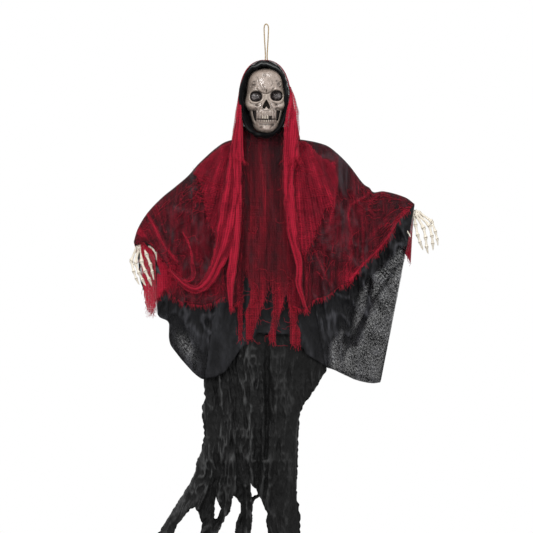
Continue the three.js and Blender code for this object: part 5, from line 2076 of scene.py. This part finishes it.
@dataclass
class VeilFronts:
    """The veil's two tails, the swag that hangs off the left one, and the two fans over the shoulders."""

    tails: Mapping[str, Ribbon] = field(default_factory=lambda: {
        "left_tail": Ribbon(
            ((-65, -172), (-70, -289), (-69.5, -364), (-70, -439), (-74, -514), (-82, -589), (-89, -651),
             (-88, -706)),
            (3, 8, 8.5, 9, 10, 11, 11, 4), depth=55, bulge=7, pleats=1.1, seed=61, thickness=0.95,
        ),
        "left_swag": Ribbon(
            ((-67, -180), (-76, -289), (-82, -364), (-88, -439), (-98, -514), (-111, -569), (-131, -619),
             (-153, -651), (-176, -663), (-203, -651), (-226, -629), (-238, -616)),
            (3, 7, 10, 14, 22, 29, 29, 22, 17, 13, 9, 4), depth=57, bulge=6, pleats=2.3, seed=63,
            thickness=0.76,
        ),
        "right_tail": Ribbon(
            ((60, -158), (65, -205), (62, -279), (54, -389), (60.5, -464), (69, -539), (82, -601), (82, -651),
             (92, -689), (99, -711)),
            (1.2, 15, 19, 16, 14, 15, 14, 9, 8, 3), depth=55, bulge=6, pleats=1.6, seed=65, thickness=0.86,
        ),
        "left_curl": Ribbon(
            ((-208, -518), (-190, -555), (-184, -598), (-181, -625), (-190, -638), (-212, -640),
             (-232, -630)),
            (2.5, 3.5, 4.5, 5.5, 6, 6, 4), depth=53, bulge=4, pleats=1.0, seed=67, thickness=0.7,
            tuck=4.0, columns=10, rows=90,
        ),
    })
    left_fan: Pairs = (
        (-84, -288), (-101, -294), (-141, -325), (-179, -361), (-181, -372), (-166, -390), (-155, -424),
        (-153, -456), (-143, -494), (-131, -514), (-114, -542), (-88, -539), (-80, -439), (-76, -289),
    )
    right_fan: Pairs = (
        (66, -276), (92, -286), (118, -312), (141, -335), (171, -346), (178, -384), (177, -419),
        (164, -450), (147, -461), (132, -494), (118, -531), (104, -565), (96, -580), (77, -545),
        (62, -464), (55, -389), (54, -289),
    )

    def fan(self, name: str, outline: Pairs, arm: ArmLayout, seed: int) -> Cloth:
        """Builds one fan: pleats that spread out of the hood's side over the cape.

        Args:
            name: The name of the sheet's object.
            outline: Its edge, as (x, z).
            arm: The arm that it is laid over.
            seed: The number that its noise starts from.

        Returns:
            The sheet's grid.
        """
        x, z, kept = Raster([outline], 2.4, 3.0, seed).grid()
        noise, fine = Noise(seed), Noise(seed + 1)
        root_x, root_z = arm.sign * 66, -190
        angle = np.arctan2(np.abs(x) - abs(root_x), root_z - z)
        reach = np.hypot(x - root_x, z - root_z)
        pleat = np.sin(angle * 26 + 1.6 * noise(angle * 4, reach / 80))
        pleat = pleat + 0.3 * fine.ridges(angle * 22, reach / 60)
        crest_x, crest_z = np.array(sorted(arm.crest), float).T
        kept &= (z < np.interp(x, crest_x, crest_z) - 2)[:-1, :-1]
        depth = drape_depth(distance(x, z, arm.crest), CAPE["radius"], CAPE["spread"])
        y = -(depth + 7.5 + 1.7 * pleat + 1.2 * noise(x / 12, z / 12))
        gather = 0.64 + 0.06 * pleat + 0.03 * noise(x / 20, z / 26)
        points = np.stack([x, y, z], axis=-1)
        return Cloth(name, points, np.stack([angle * 160, reach], axis=-1), gather, kept, ease=2)

    def build_tails(self, wardrobe: Wardrobe) -> None:
        """Makes the tails, the swag and the curl with their loose ends.

        Args:
            wardrobe: The maker of the finishes.
        """
        for name, ribbon in self.tails.items():
            sheet = ribbon.cloth(name)
            piece = sheet.make()
            fringe = Fringe(ribbon.seed).along_edge(sheet, name + "_fringe", 26, (4, 16))
            node = "left_cape" if name == "left_curl" else "veil"
            carry = LEFT_ARM.follow if name in ("left_swag", "left_curl") else rider("figure")
            sheet.hang(piece, wardrobe, Fabric.RED_GAUZE, node, carry, "gathered", "veil_crown", [fringe])

    def build(self, wardrobe: Wardrobe) -> None:
        """Makes every tail and fan with its loose threads.

        Args:
            wardrobe: The maker of the finishes.
        """
        self.build_tails(wardrobe)
        for arm, outline, seed in ((LEFT_ARM, self.left_fan, 71), (RIGHT_ARM, self.right_fan, 73)):
            sheet = self.fan(f"{arm.side}_fan", outline, arm, seed)
            piece = sheet.make()
            edge = Fringe(seed).along_edge(sheet, f"{arm.side}_fan_fringe", 90, (3, 12))
            pulled = bump(sheet.points[..., 0], arm.sign * 150, 30) * bump(sheet.points[..., 2], -420, 36)
            level = Fringe(seed + 5, radius=0.5, heading=(2.9, 3.4), wander=0.07, stations=26)
            count = 24 if arm is LEFT_ARM else 4
            loose = level.over_sheet(sheet, f"{arm.side}_fan_threads", count, pulled)
            frayed = [edge, loose]
            under = f"{arm.side}_cape_front"
            sheet.hang(piece, wardrobe, Fabric.RED_GAUZE, "veil", arm.follow, "draped", under, frayed)
        LOG.info("veil: three tails, a curl and two fans")


@dataclass
class ArmCloth:
    """The red cape and the black sleeve over one arm, each as a front and a back sheet."""

    arm: ArmLayout
    capes: Sequence[ArmSheet]
    sleeves: Sequence[ArmSheet]
    strands: Callable[[Array, Array], Array]
    turn: Pairs = ()

    def turned(self) -> Cloth:
        """Builds the end of the cape's back sheet that shows under the wrist.

        Returns:
            The sheet's grid.
        """
        x, z, kept = Raster([self.turn], 2.4, 2.4, 141).grid()
        noise, fine = Noise(142), Noise(143)
        folds = noise.ridges(x / 17 + z / 90, z / 120) + 0.5 * fine.ridges(x / 8 + z / 60, z / 60)
        gather = 0.95 + 0.1 * folds - 0.1 * step(-z, 690, 730)
        depth = mix(7.5, 27.0, step(x, -279, -268)) + 1.6 * folds
        points = np.stack([x, -depth, z], axis=-1)
        cut = np.stack([x, z], axis=-1)
        return Cloth(f"{self.arm.side}_cape_turn", points, cut, gather, kept, ease=2)

    def build_turn(self, wardrobe: Wardrobe) -> None:
        """Makes that end with its frayed edge.

        Args:
            wardrobe: The maker of the finishes.
        """
        cloth, side = self.turned(), self.arm.side
        piece = cloth.make()
        edge = Fringe(144).along_edge(cloth, cloth.name + "_fringe", 80, (4, 16))
        node, carry, under = f"{side}_cape", rider(f"{side}_arm"), f"{side}_cape_front"
        cloth.hang(piece, wardrobe, Fabric.RED_GAUZE, node, carry, "hung", under, [edge])

    def build(self, wardrobe: Wardrobe) -> None:
        """Makes the four sheets with the capes' frayed hems and loose threads.

        Args:
            wardrobe: The maker of the finishes.
        """
        side = self.arm.side
        if self.turn:
            self.build_turn(wardrobe)
        for sheet in self.sleeves:
            cloth = sheet.cloth()
            cloth.ease = 6
            piece = cloth.make()
            node, under = f"{side}_sleeve", f"{side}_arm_foam_tube"
            cloth.hang(piece, wardrobe, Fabric.BLACK_CLOTH, node, self.arm.follow, "draped", under)
        for sheet in self.capes:
            cloth = sheet.cloth()
            piece = cloth.make()
            x, z = cloth.points[..., 0], cloth.points[..., 2]
            where = np.ones_like(x) if sheet.back else self.strands(x, z)
            count = 150 if sheet.back else 200
            edge = Fringe(sheet.seed).along_edge(cloth, sheet.name + "_fringe", count, (3, 14))
            level = Fringe(sheet.seed + 3, radius=0.5)
            loose = level.over_sheet(cloth, sheet.name + "_threads", 90, where)
            node, under, frayed = f"{side}_cape", f"{side}_sleeve_front", [edge, loose]
            cloth.hang(piece, wardrobe, Fabric.RED_GAUZE, node, self.arm.follow, "draped", under, frayed)
        LOG.info("%s arm: cape and sleeve", side)


def left_thin(x: Array, z: Array) -> Array:
    """Returns how solid the left sleeve is: clear only in one slanting patch near its lower edge.

    Args:
        x: The points' x.
        z: The points' z.

    Returns:
        1 where it is solid, less where light comes through.
    """
    along = (x + 201) * 0.5 - (z + 806) * 0.86
    across = (x + 201) * 0.86 + (z + 806) * 0.5
    return 1 - 0.3 * bump(along, 0, 44) * bump(across, 0, 17)


def right_thin(x: Array, z: Array) -> Array:
    """Returns how solid the right sleeve is: clear over its hanging corner, with dark folds in it.

    Args:
        x: The points' x.
        z: The points' z.

    Returns:
        1 where it is solid, less where light comes through.
    """
    edge = Curve([
        (-895, 150), (-859, 154), (-801, 158), (-756, 190), (-694, 216), (-629, 262), (-589, 305),
        (-540, 346),
    ])(z)
    clear = step(x - edge, -6, 14) * (1 - step(z, -560, -530))
    folds = near(x, z, ((222, -640), (212, -720), (200, -790)), 13)
    folds = folds + near(x, z, ((262, -640), (252, -720), (222, -800)), 6)
    folds = folds + 0.6 * near(x, z, ((330, -600), (262, -700), (190, -830)), 5)
    rim = near(x, z, ((352, -516), (344, -639), (318, -756), (297, -830), (286, -895), (152, -858)), 4)
    return 1 - 0.27 * clear * (1 - np.clip(folds + 0.5 * rim, 0, 1))


# How far a sleeve's hem stands from the arm's plane, along the hem: open at the body, closed at the wrist.
SLEEVE_GAP = ((0.0, 21.0), (0.1, 20.0), (0.7, 1.4), (1.0, 1.2))
# The lip of the left sleeve stands off, to leave room for the hand's turn.
LIP_GAP = ((0.0, 21.0), (0.1, 20.0), (0.68, 1.6), (0.76, 11.5), (0.88, 11.5), (0.95, 1.4), (1.0, 1.2))


def left_arm_cloth() -> ArmCloth:
    """Sizes the cloth of the left arm.

    Returns:
        The four sheets and the turned end.
    """
    arm = LEFT_ARM
    front_hem = (
        (0.0, -66, -690), (0.08, -83, -703), (0.16, -106, -681), (0.24, -129, -694), (0.36, -172, -701),
        (0.48, -215, -689), (0.58, -246, -664), (0.66, -238, -630), (0.76, -224, -597),
        (0.82, -246, -604), (0.86, -262, -598), (0.89, -267, -577), (0.92, -276, -557),
        (0.95, -292, -548), (1.0, -330, -547),
    )
    back_hem = (
        (0.0, -60, -700), (0.2, -100, -700), (0.4, -150, -690), (0.6, -200, -672), (0.76, -246, -662),
        (0.84, -258, -684), (0.9, -273, -711), (0.95, -283, -716), (1.0, -294, -724),
    )
    sleeve_front = (
        (0.0, -152, -886), (0.15, -164, -884), (0.3, -190, -862), (0.45, -232, -812),
        (0.55, -243, -788), (0.65, -244, -744), (0.74, -272, -722), (0.8, -240, -660),
        (0.86, -240, -596), (0.93, -296, -560), (1.0, -328, -556),
    )
    sleeve_back = (*sleeve_front[:9], (0.91, -302, -572), (0.95, -318, -620), (1.0, -304, -676))
    creases = (
        Crease(((-296, -474), (-285, -496), (-266, -532), (-246, -564), (-222, -594)), 4.5, 6, 0.34),
        Crease(((-208, -518), (-190, -560), (-184, -600)), 7, 4, 0.12),
        Crease(((-282, -500), (-258, -560), (-250, -590)), 4, 3, 0.16),
        Crease(((-297, -471), (-250, -440), (-200, -440)), 6, 2, 0.05),
    )
    patches = (
        Patch(-186, -384, 26, 24, -0.24), Patch(-314, -522, 24, 26, 0.4), Patch(-190, -420, 60, 40, -0.07),
        Patch(-160, -650, 60, 30, 0.12), Patch(-240, -640, 26, 24, 0.4),
    )
    back_patches = (Patch(-290, -715, 20, 20, -0.25),)
    return ArmCloth(
        arm,
        (
            ArmSheet(
                "left_cape_front", arm, False, front_hem, **CAPE, fold=5, fold_width=34, crinkle=0.5,
                seed=101, thickness=0.39, crumple=1.0, creases=creases, patches=patches,
            ),
            ArmSheet(
                "left_cape_back", arm, True, back_hem, **CAPE, fold=5, fold_width=34, crinkle=0.7, seed=105,
                thickness=0.78, crumple=0.8, patches=back_patches,
            ),
        ),
        (
            ArmSheet(
                "left_sleeve_front", arm, False, sleeve_front, **SLEEVE, fold=7, fold_width=36, crinkle=0.7,
                seed=111, crumple=6.0, hem_gap=LIP_GAP, thin=left_thin,
            ),
            ArmSheet(
                "left_sleeve_back", arm, True, sleeve_back, **SLEEVE, fold=5, fold_width=30, crinkle=0.7,
                seed=113, crumple=3.5, hem_gap=SLEEVE_GAP, thin=left_thin,
            ),
        ),
        lambda x, z: 0.15 + 2.0 * bump(z, -685, 22) + bump(x, -170, 40) * bump(z, -430, 40),
        (
            (-314, -546), (-289, -546), (-278, -566), (-266, -588), (-243, -602), (-231, -600),
            (-238, -637), (-246, -657), (-266, -677), (-275, -694), (-283, -714), (-294, -724),
            (-305, -681), (-309, -651), (-311, -600),
        ),
    )


def right_arm_cloth() -> ArmCloth:
    """Sizes the cloth of the right arm.

    Returns:
        The four sheets.
    """
    arm = RIGHT_ARM
    front_hem = (
        (0.0, 60, -700), (0.1, 95, -711), (0.2, 118, -689), (0.32, 152, -677), (0.42, 187, -651),
        (0.5, 210, -642), (0.6, 239, -607), (0.7, 279, -568), (0.8, 304, -534), (0.92, 336, -482),
        (1.0, 358, -463),
    )
    back_hem = (
        (0.0, 60, -700), (0.2, 130, -700), (0.4, 210, -655), (0.6, 270, -600), (0.8, 318, -545),
        (0.92, 346, -570), (1.0, 364, -594),
    )
    sleeve_hem = (
        (0.0, 148, -856), (0.2, 175, -866), (0.45, 215, -885), (0.6, 239, -893), (0.8, 265, -897),
        (1.0, 286, -895),
    )
    lower_fold = ((352, -468), (336, -484), (304, -530), (279, -564), (239, -603), (210, -638))
    creases = (
        Crease(lower_fold, 3.5, 3, 0.4),
        Crease(((266, -414), (246, -432), (210, -452), (203, -480), (212, -520), (206, -560)), 4, 5, 0.22),
        Crease(((293, -420), (262, -440), (254, -462), (272, -478)), 4, 3, 0.2),
        Crease(((170, -345), (176, -400), (168, -460), (150, -520)), 4, 2.5, 0.18),
        Crease(((118, -560), (140, -610), (158, -650)), 3, 2, 0.25),
        Crease(((88, -560), (100, -640), (98, -700)), 4, 3, 0.25),
        Crease(((320, -450), (290, -500), (262, -530)), 5, 2.5, 0.12),
    )
    patches = (
        Patch(196, -382, 18, 42, -0.26, 1.5), Patch(147, -313, 52, 26, -0.16),
        Patch(285, -458, 60, 34, 0.03, 3.2), Patch(235, -560, 50, 50, 0.0, 1.8),
        Patch(212, -632, 30, 16, 0.3, 2.0), Patch(325, -455, 16, 14, -0.2),
    )
    return ArmCloth(
        arm,
        (
            ArmSheet(
                "right_cape_front", arm, False, front_hem, **CAPE, fold=5, fold_width=36, crinkle=0.6,
                seed=121, thickness=0.42, crumple=1.0, creases=creases, patches=patches,
            ),
            ArmSheet(
                "right_cape_back", arm, True, back_hem, **CAPE, fold=5, fold_width=36, crinkle=0.7, seed=125,
                thickness=0.78, crumple=0.8, patches=(Patch(350, -570, 26, 60, 0.4),),
            ),
        ),
        (
            ArmSheet(
                "right_sleeve_front", arm, False, sleeve_hem, **SLEEVE, fold=7, fold_width=38, crinkle=0.6,
                seed=131, crumple=5.0, hem_gap=SLEEVE_GAP, thin=right_thin,
            ),
            ArmSheet(
                "right_sleeve_back", arm, True, sleeve_hem, **SLEEVE, fold=5, fold_width=34, crinkle=0.6,
                seed=133, crumple=3.0, hem_gap=SLEEVE_GAP, thin=right_thin,
            ),
        ),
        lambda x, z: 0.12 + 1.6 * bump(x, 285, 60) * bump(z, -455, 36) + 2.4 * near(x, z, lower_fold, 14)
        + 1.2 * bump(x, 150, 60) * bump(z, -590, 60),
    )


@dataclass
class BodyCloth:
    """The tunic, the dark chest panel with its strips, and the long crinkled skirt."""

    chest: Pairs = (
        (-62, -250), (-60, -279), (-60, -400), (-64, -500), (-68, -560), (-72, -640), (-73, -720),
        (-68, -791), (-60, -792), (-59, -700), (-56, -640), (-51, -611), (-45, -640), (-39, -664),
        (-45, -701), (-53, -724), (-51, -751), (-52, -787), (-36, -789), (-26, -751), (-17, -724),
        (-6, -694), (3, -664), (10, -640), (14, -669), (17, -701), (13, -739), (7, -776), (6, -794),
        (24, -795), (25, -764), (32, -734), (42, -701), (47, -676), (50, -665), (53, -689), (57, -711),
        (59, -751), (60, -800), (86, -802), (85, -764), (76, -744), (80, -714), (84, -689), (84, -651),
        (67, -564), (56, -439), (50, -339), (48, -279), (52, -250),
    )
    tunic: Pairs = (
        (-66, -294), (-60, -256), (56, -256), (66, -294), (100, -480), (130, -700), (150, -856),
        (120, -836), (100, -824), (88, -806), (60, -803), (59, -774), (30, -775), (6, -773),
        (-24, -772), (-34, -792), (-62, -806), (-78, -832), (-100, -866), (-128, -880), (-154, -887),
        (-130, -700), (-100, -480),
    )
    skirt: Pairs = (
        (-118, -640), (-140, -800), (-158, -890), (-153.5, -931), (-161, -964), (-156, -1024),
        (-163, -1071), (-174, -1089), (-179, -1126), (-188, -1140), (-211, -1177), (-253, -1245),
        (-300, -1318), (-264, -1320), (-218, -1245), (-202, -1225), (-177, -1200), (-167, -1228),
        (-160, -1246), (-176, -1330), (-146, -1333), (-141, -1297), (-130, -1300), (-110, -1246),
        (-100, -1228), (-89, -1209), (-84, -1180), (-82, -1175), (-63, -1196), (-63, -1214),
        (-74, -1246), (-84, -1311), (-42, -1309), (-36.5, -1246), (-36, -1219), (-33, -1196),
        (-26, -1184), (-16, -1173), (-8, -1196), (4, -1223), (0, -1246), (18, -1334), (86, -1334),
        (85, -1246), (82, -1200), (75.5, -1186), (78, -1126), (81, -1016), (84, -974), (96, -946),
        (122, -914), (152, -862), (116, -640),
    )
    skirt_holes: Sequence[Pairs] = (
        ((-129, -1187), (-125, -1180), (-111, -1209), (-118, -1226), (-126, -1239), (-131, -1238)),
        ((-40, -1141), (-18, -1171), (-37, -1187)),
    )
    # How far the skirt reaches to the left and right, and how thick it hangs, against z.
    skirt_left: Pairs = (
        (-1335, -305), (-1245, -255), (-1177, -213), (-1140, -190), (-1091, -175), (-1034, -156),
        (-931, -155), (-890, -158), (-640, -118),
    )
    skirt_right: Pairs = (
        (-1335, 88), (-1140, 80), (-979, 85), (-946, 97), (-914, 123), (-865, 152), (-640, 116),
    )
    skirt_thick: Pairs = ((-1335, 30), (-1040, 34), (-960, 24), (-880, 12), (-760, 10), (-640, 12))
    # The deep fold down the middle of the skirt.
    skirt_parting: Pairs = ((2, -800), (3, -990), (-2, -1080))

    def chest_sheet(self) -> Cloth:
        """Builds the chest panel: long soft folds that end in frayed strips.

        Returns:
            The sheet's grid.
        """
        x, z, kept = Raster([self.chest], 2.3, 1.6, 81).grid()
        noise, fine = Noise(82), Noise(83)
        drop = np.maximum(-280 - z, 0)
        wander = x + 9 * noise(x / 50, z / 150)
        folds = noise.ridges(wander / 26, z / 520) + 0.5 * fine.ridges(wander / 11, z / 200)
        y = -(mix(22, 33, step(drop, 0, 70)) + 3.2 * folds + 0.8 * fine(x / 8, z / 9))
        streaks = bump(wander, 33, 3.5) * step(drop, 90, 180)
        streaks = streaks + bump(wander, -44, 4) + 0.7 * bump(wander, -12, 4)
        gather = 0.36 + 0.15 * step(drop, 10, 130) + 0.06 * folds + 0.16 * streaks
        gather = gather + 0.2 * step(drop, 330, 430)
        points = np.stack([x, y, z], axis=-1)
        return Cloth("chest_gauze", points, np.stack([x, z], axis=-1), gather, kept, ease=2)

    def tunic_sheet(self, side: int) -> Cloth:
        """Builds the tunic's front or back.

        Args:
            side: -1 for the front, 1 for the back.

        Returns:
            The sheet's grid.
        """
        x, z, kept = Raster([self.tunic], 3.0, 1.2, 84).grid()
        noise, fine = Noise(85 + side), Noise(87 + side)
        drop = np.maximum(-294 - z, 0)
        wander = x / (1 + drop / 700) + 8 * noise(x / 60, z / 90)
        low = step(drop, 300, 420)
        folds = noise.ridges(wander / 24, z / 300) + 0.6 * fine.ridges(wander / 10, z / 90) * low
        neck = 13.5 * step(-z, 312, 296) * (1 - step(np.abs(x), 50, 66))
        depth = np.maximum(drape_depth(drop, 12, 10), neck) + 2.6 * folds * step(drop, 10, 200)
        points = np.stack([x, side * depth, z], axis=-1)
        name = "tunic_front_cloth" if side < 0 else "tunic_back_cloth"
        cut, gather = np.stack([x, z], axis=-1), np.ones(x.shape)
        # The fold ridges are marked for painted sheen.
        return Cloth(name, points, cut, gather, kept, ease=3, crest=0.3 * folds)

    def skirt_sheet(self, side: int) -> Cloth:
        """Builds the skirt's front or back: deep upright crinkles that lean with the strips.

        Args:
            side: -1 for the front, 1 for the back.

        Returns:
            The sheet's grid.
        """
        x, z, kept = Raster([self.skirt, *self.skirt_holes], 2.5, 2.2, 91).grid()
        noise, fine = Noise(92 + side), Noise(95 + side)
        left, right = Curve(self.skirt_left)(z), Curve(self.skirt_right)(z)
        share = np.clip(2 * (x - left - 4) / (right - left - 8) - 1, -1, 1)
        round_off = np.sqrt(np.maximum(1 - share ** 4, 0))
        slant = np.minimum(z + 1120, 0) * 0.6 * np.clip(-(x + 40) / 260, 0, 1)
        flow = x - slant + 7 * noise(x / 60, z / 120) + 3.5 * fine(x / 22, z / 34)
        deep = noise.ridges(flow / 21, z / 300)
        middle = fine.ridges(flow / 9, z / 62)
        slim = noise.ridges(flow / 4.6 + 40, z / 20)
        rough = step(-x, -40, 60)
        crinkle = 6.4 * deep + mix(2.2, 3.8, rough) * middle + mix(1.0, 2.0, rough) * slim
        gap = near(x, z, self.skirt_parting, 5)
        crinkle = crinkle - 12 * gap
        crinkle = crinkle * mix(0.2, 1.0, step(-z, 790, 890))
        depth = 0.7 + (Curve(self.skirt_thick)(z) + crinkle) * round_off
        points = np.stack([x, side * np.maximum(depth, 0.6), z], axis=-1)
        name = "skirt_front_cloth" if side < 0 else "skirt_back_cloth"
        gather = np.ones(x.shape)
        # Painted sheen on the crinkles' ridges, stronger on the left, and none in the deep middle fold.
        crest = mix(0.5, 1.0, rough) * (0.4 * deep + 0.4 * middle + 0.5 * slim - 0.1) - gap
        return Cloth(name, points, np.stack([x, z], axis=-1), gather, kept, ease=3, crest=crest)

    def build(self, wardrobe: Wardrobe) -> None:
        """Makes the body cloths.

        Args:
            wardrobe: The maker of the finishes.
        """
        carry = rider("figure")
        for side, word in ((-1, "front"), (1, "back")):
            for sheet, fabric, node, under in (
                (self.tunic_sheet(side), Fabric.BLACK_CLOTH, f"tunic_{word}", "left_shoulder_foam_tube"),
                (self.skirt_sheet(side), Fabric.CRINKLED_CLOTH, f"skirt_{word}", f"tunic_{word}_cloth"),
            ):
                piece = sheet.make()
                sheet.hang(piece, wardrobe, fabric, node, carry, "hung", under)
        sheet = self.chest_sheet()
        piece = sheet.make()
        edge = Fringe(97).along_edge(sheet, "chest_fringe", 120, (3, 12))
        low = 0.1 + step(-sheet.points[..., 2], 560, 700)
        loose = Fringe(98, radius=0.5).over_sheet(sheet, "chest_threads", 40, low)
        node, under, frayed = "chest_panel", "skull_face_shell", [edge, loose]
        sheet.hang(piece, wardrobe, Fabric.MAROON_GAUZE, node, carry, "hung", under, frayed)
        LOG.info("body: tunic, skirt, chest panel")


@dataclass
class Studio:
    """Camera, soft lamps, white surroundings and the pale floor."""

    distance: float = 8.0
    height: float = -0.605
    aside: float = 0.0005
    lens: float = 216.0
    sensor: float = 36.0
    faced: Place = (0.0, 0.0, -0.6)
    floor_height: float = -1.6
    floor_radius: float = 0.95

    def camera(self) -> None:
        """Places the camera level with the middle of the photograph."""
        data = bpy.data.cameras.new("camera")
        data.lens = self.lens
        data.sensor_width = self.sensor
        data.clip_end = 60.0
        camera = bpy.data.objects.new("camera", data)
        bpy.context.scene.collection.objects.link(camera)
        camera.location = (self.aside, -self.distance, self.height)
        camera.rotation_euler = (math.pi / 2, 0, 0)
        bpy.context.scene.camera = camera

    def lamp(self, name: str, place: Place, size: float, power: float) -> None:
        """Adds a square soft lamp that faces the middle of the figure.

        Args:
            name: The lamp's name.
            place: Where it stands, in metres.
            size: The length of its side, in metres.
            power: Its power in watts.
        """
        data = bpy.data.lights.new(name, "AREA")
        data.shape = "SQUARE"
        data.size = size
        data.energy = power
        lamp = bpy.data.objects.new(name, data)
        bpy.context.scene.collection.objects.link(lamp)
        lamp.location = place
        lamp.rotation_euler = (Vector(self.faced) - Vector(place)).to_track_quat("-Z", "Y").to_euler()

    def surroundings(self) -> None:
        """Lights the figure with soft grey and shows white to the camera and through clear surfaces."""
        world = bpy.data.worlds.new("studio")
        bpy.context.scene.world = world
        world.use_nodes = True
        tree = world.node_tree
        tree.nodes.clear()
        path = add_node(tree, "LightPath")
        soft = add_node(tree, "Background", {"Color": (0.96, 0.98, 1.0, 1.0), "Strength": 0.36})
        white = add_node(tree, "Background", {"Color": (1.0, 1.0, 1.0, 1.0), "Strength": 1.0})
        seen = path.outputs["Is Camera Ray"]
        for ray in ("Is Glossy Ray", "Is Transmission Ray"):
            either = add_node(tree, "Math", {"operation": "MAXIMUM"}, {0: seen, 1: path.outputs[ray]})
            seen = either.outputs[0]
        mixed = add_node(tree, "MixShader", None, {0: seen, 1: soft.outputs[0], 2: white.outputs[0]})
        add_node(tree, "OutputWorld", None, {"Surface": mixed.outputs[0]})

    def floor(self) -> None:
        """Lays a round pale floor a little below the figure."""
        deselect()
        bpy.ops.mesh.primitive_cylinder_add(
            vertices=96, radius=self.floor_radius, depth=0.01, location=(0, 0, self.floor_height),
        )
        floor = settle(bpy.context.object)
        floor.name = "studio_floor"
        recipe = Recipe("painted floor, matt white")
        recipe.lay(
            ("grain", "TexNoise", grain(30.0, 3.0), {"Vector": "place"}),
            ("shade", "MapRange", span(), {"Value": "grain"}),
            ("colour", "ValToRGB", {"stops": [(0.0, "#ECEBE9"), (1.0, "#F4F3F1")]}, {"Fac": "shade"}),
        )
        floor.data.materials.append(recipe.finish({"Roughness": 0.85}, {"Base Color": "colour"}))

    def build(self) -> None:
        """Sets up the whole studio."""
        self.camera()
        self.surroundings()
        self.lamp("key", (-1.9, -3.2, 1.5), 1.3, 76.0)
        self.lamp("fill", (2.3, -3.2, -0.2), 2.0, 30.0)
        self.lamp("top", (0.2, -0.9, 1.9), 1.0, 20.0)
        self.lamp("glint", (0.5, -4.2, 1.4), 0.26, 26.0)
        self.floor()
        bpy.context.scene.view_settings.view_transform = "Standard"
        LOG.info("studio: camera, lamps, floor")


def main() -> None:
    """Builds the whole scene in order."""
    logging.basicConfig(level=logging.INFO, format="%(message)s")
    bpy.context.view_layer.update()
    nodes = frame["nodes"]
    wardrobe = Wardrobe()
    Studio().build()
    HangingCord().build(wardrobe)
    Skull().build(wardrobe, nodes)
    ArmFrame().build(wardrobe, nodes)
    SkeletonHand(LEFT_ARM, mirrored=False, lean=0).build(wardrobe)
    SkeletonHand(RIGHT_ARM, mirrored=True, lean=-33).build(wardrobe)
    left_arm_cloth().build(wardrobe)
    right_arm_cloth().build(wardrobe)
    HeadCloth().build(wardrobe)
    BodyCloth().build(wardrobe)
    VeilFronts().build(wardrobe)


if __name__ == "__main__":
    main()
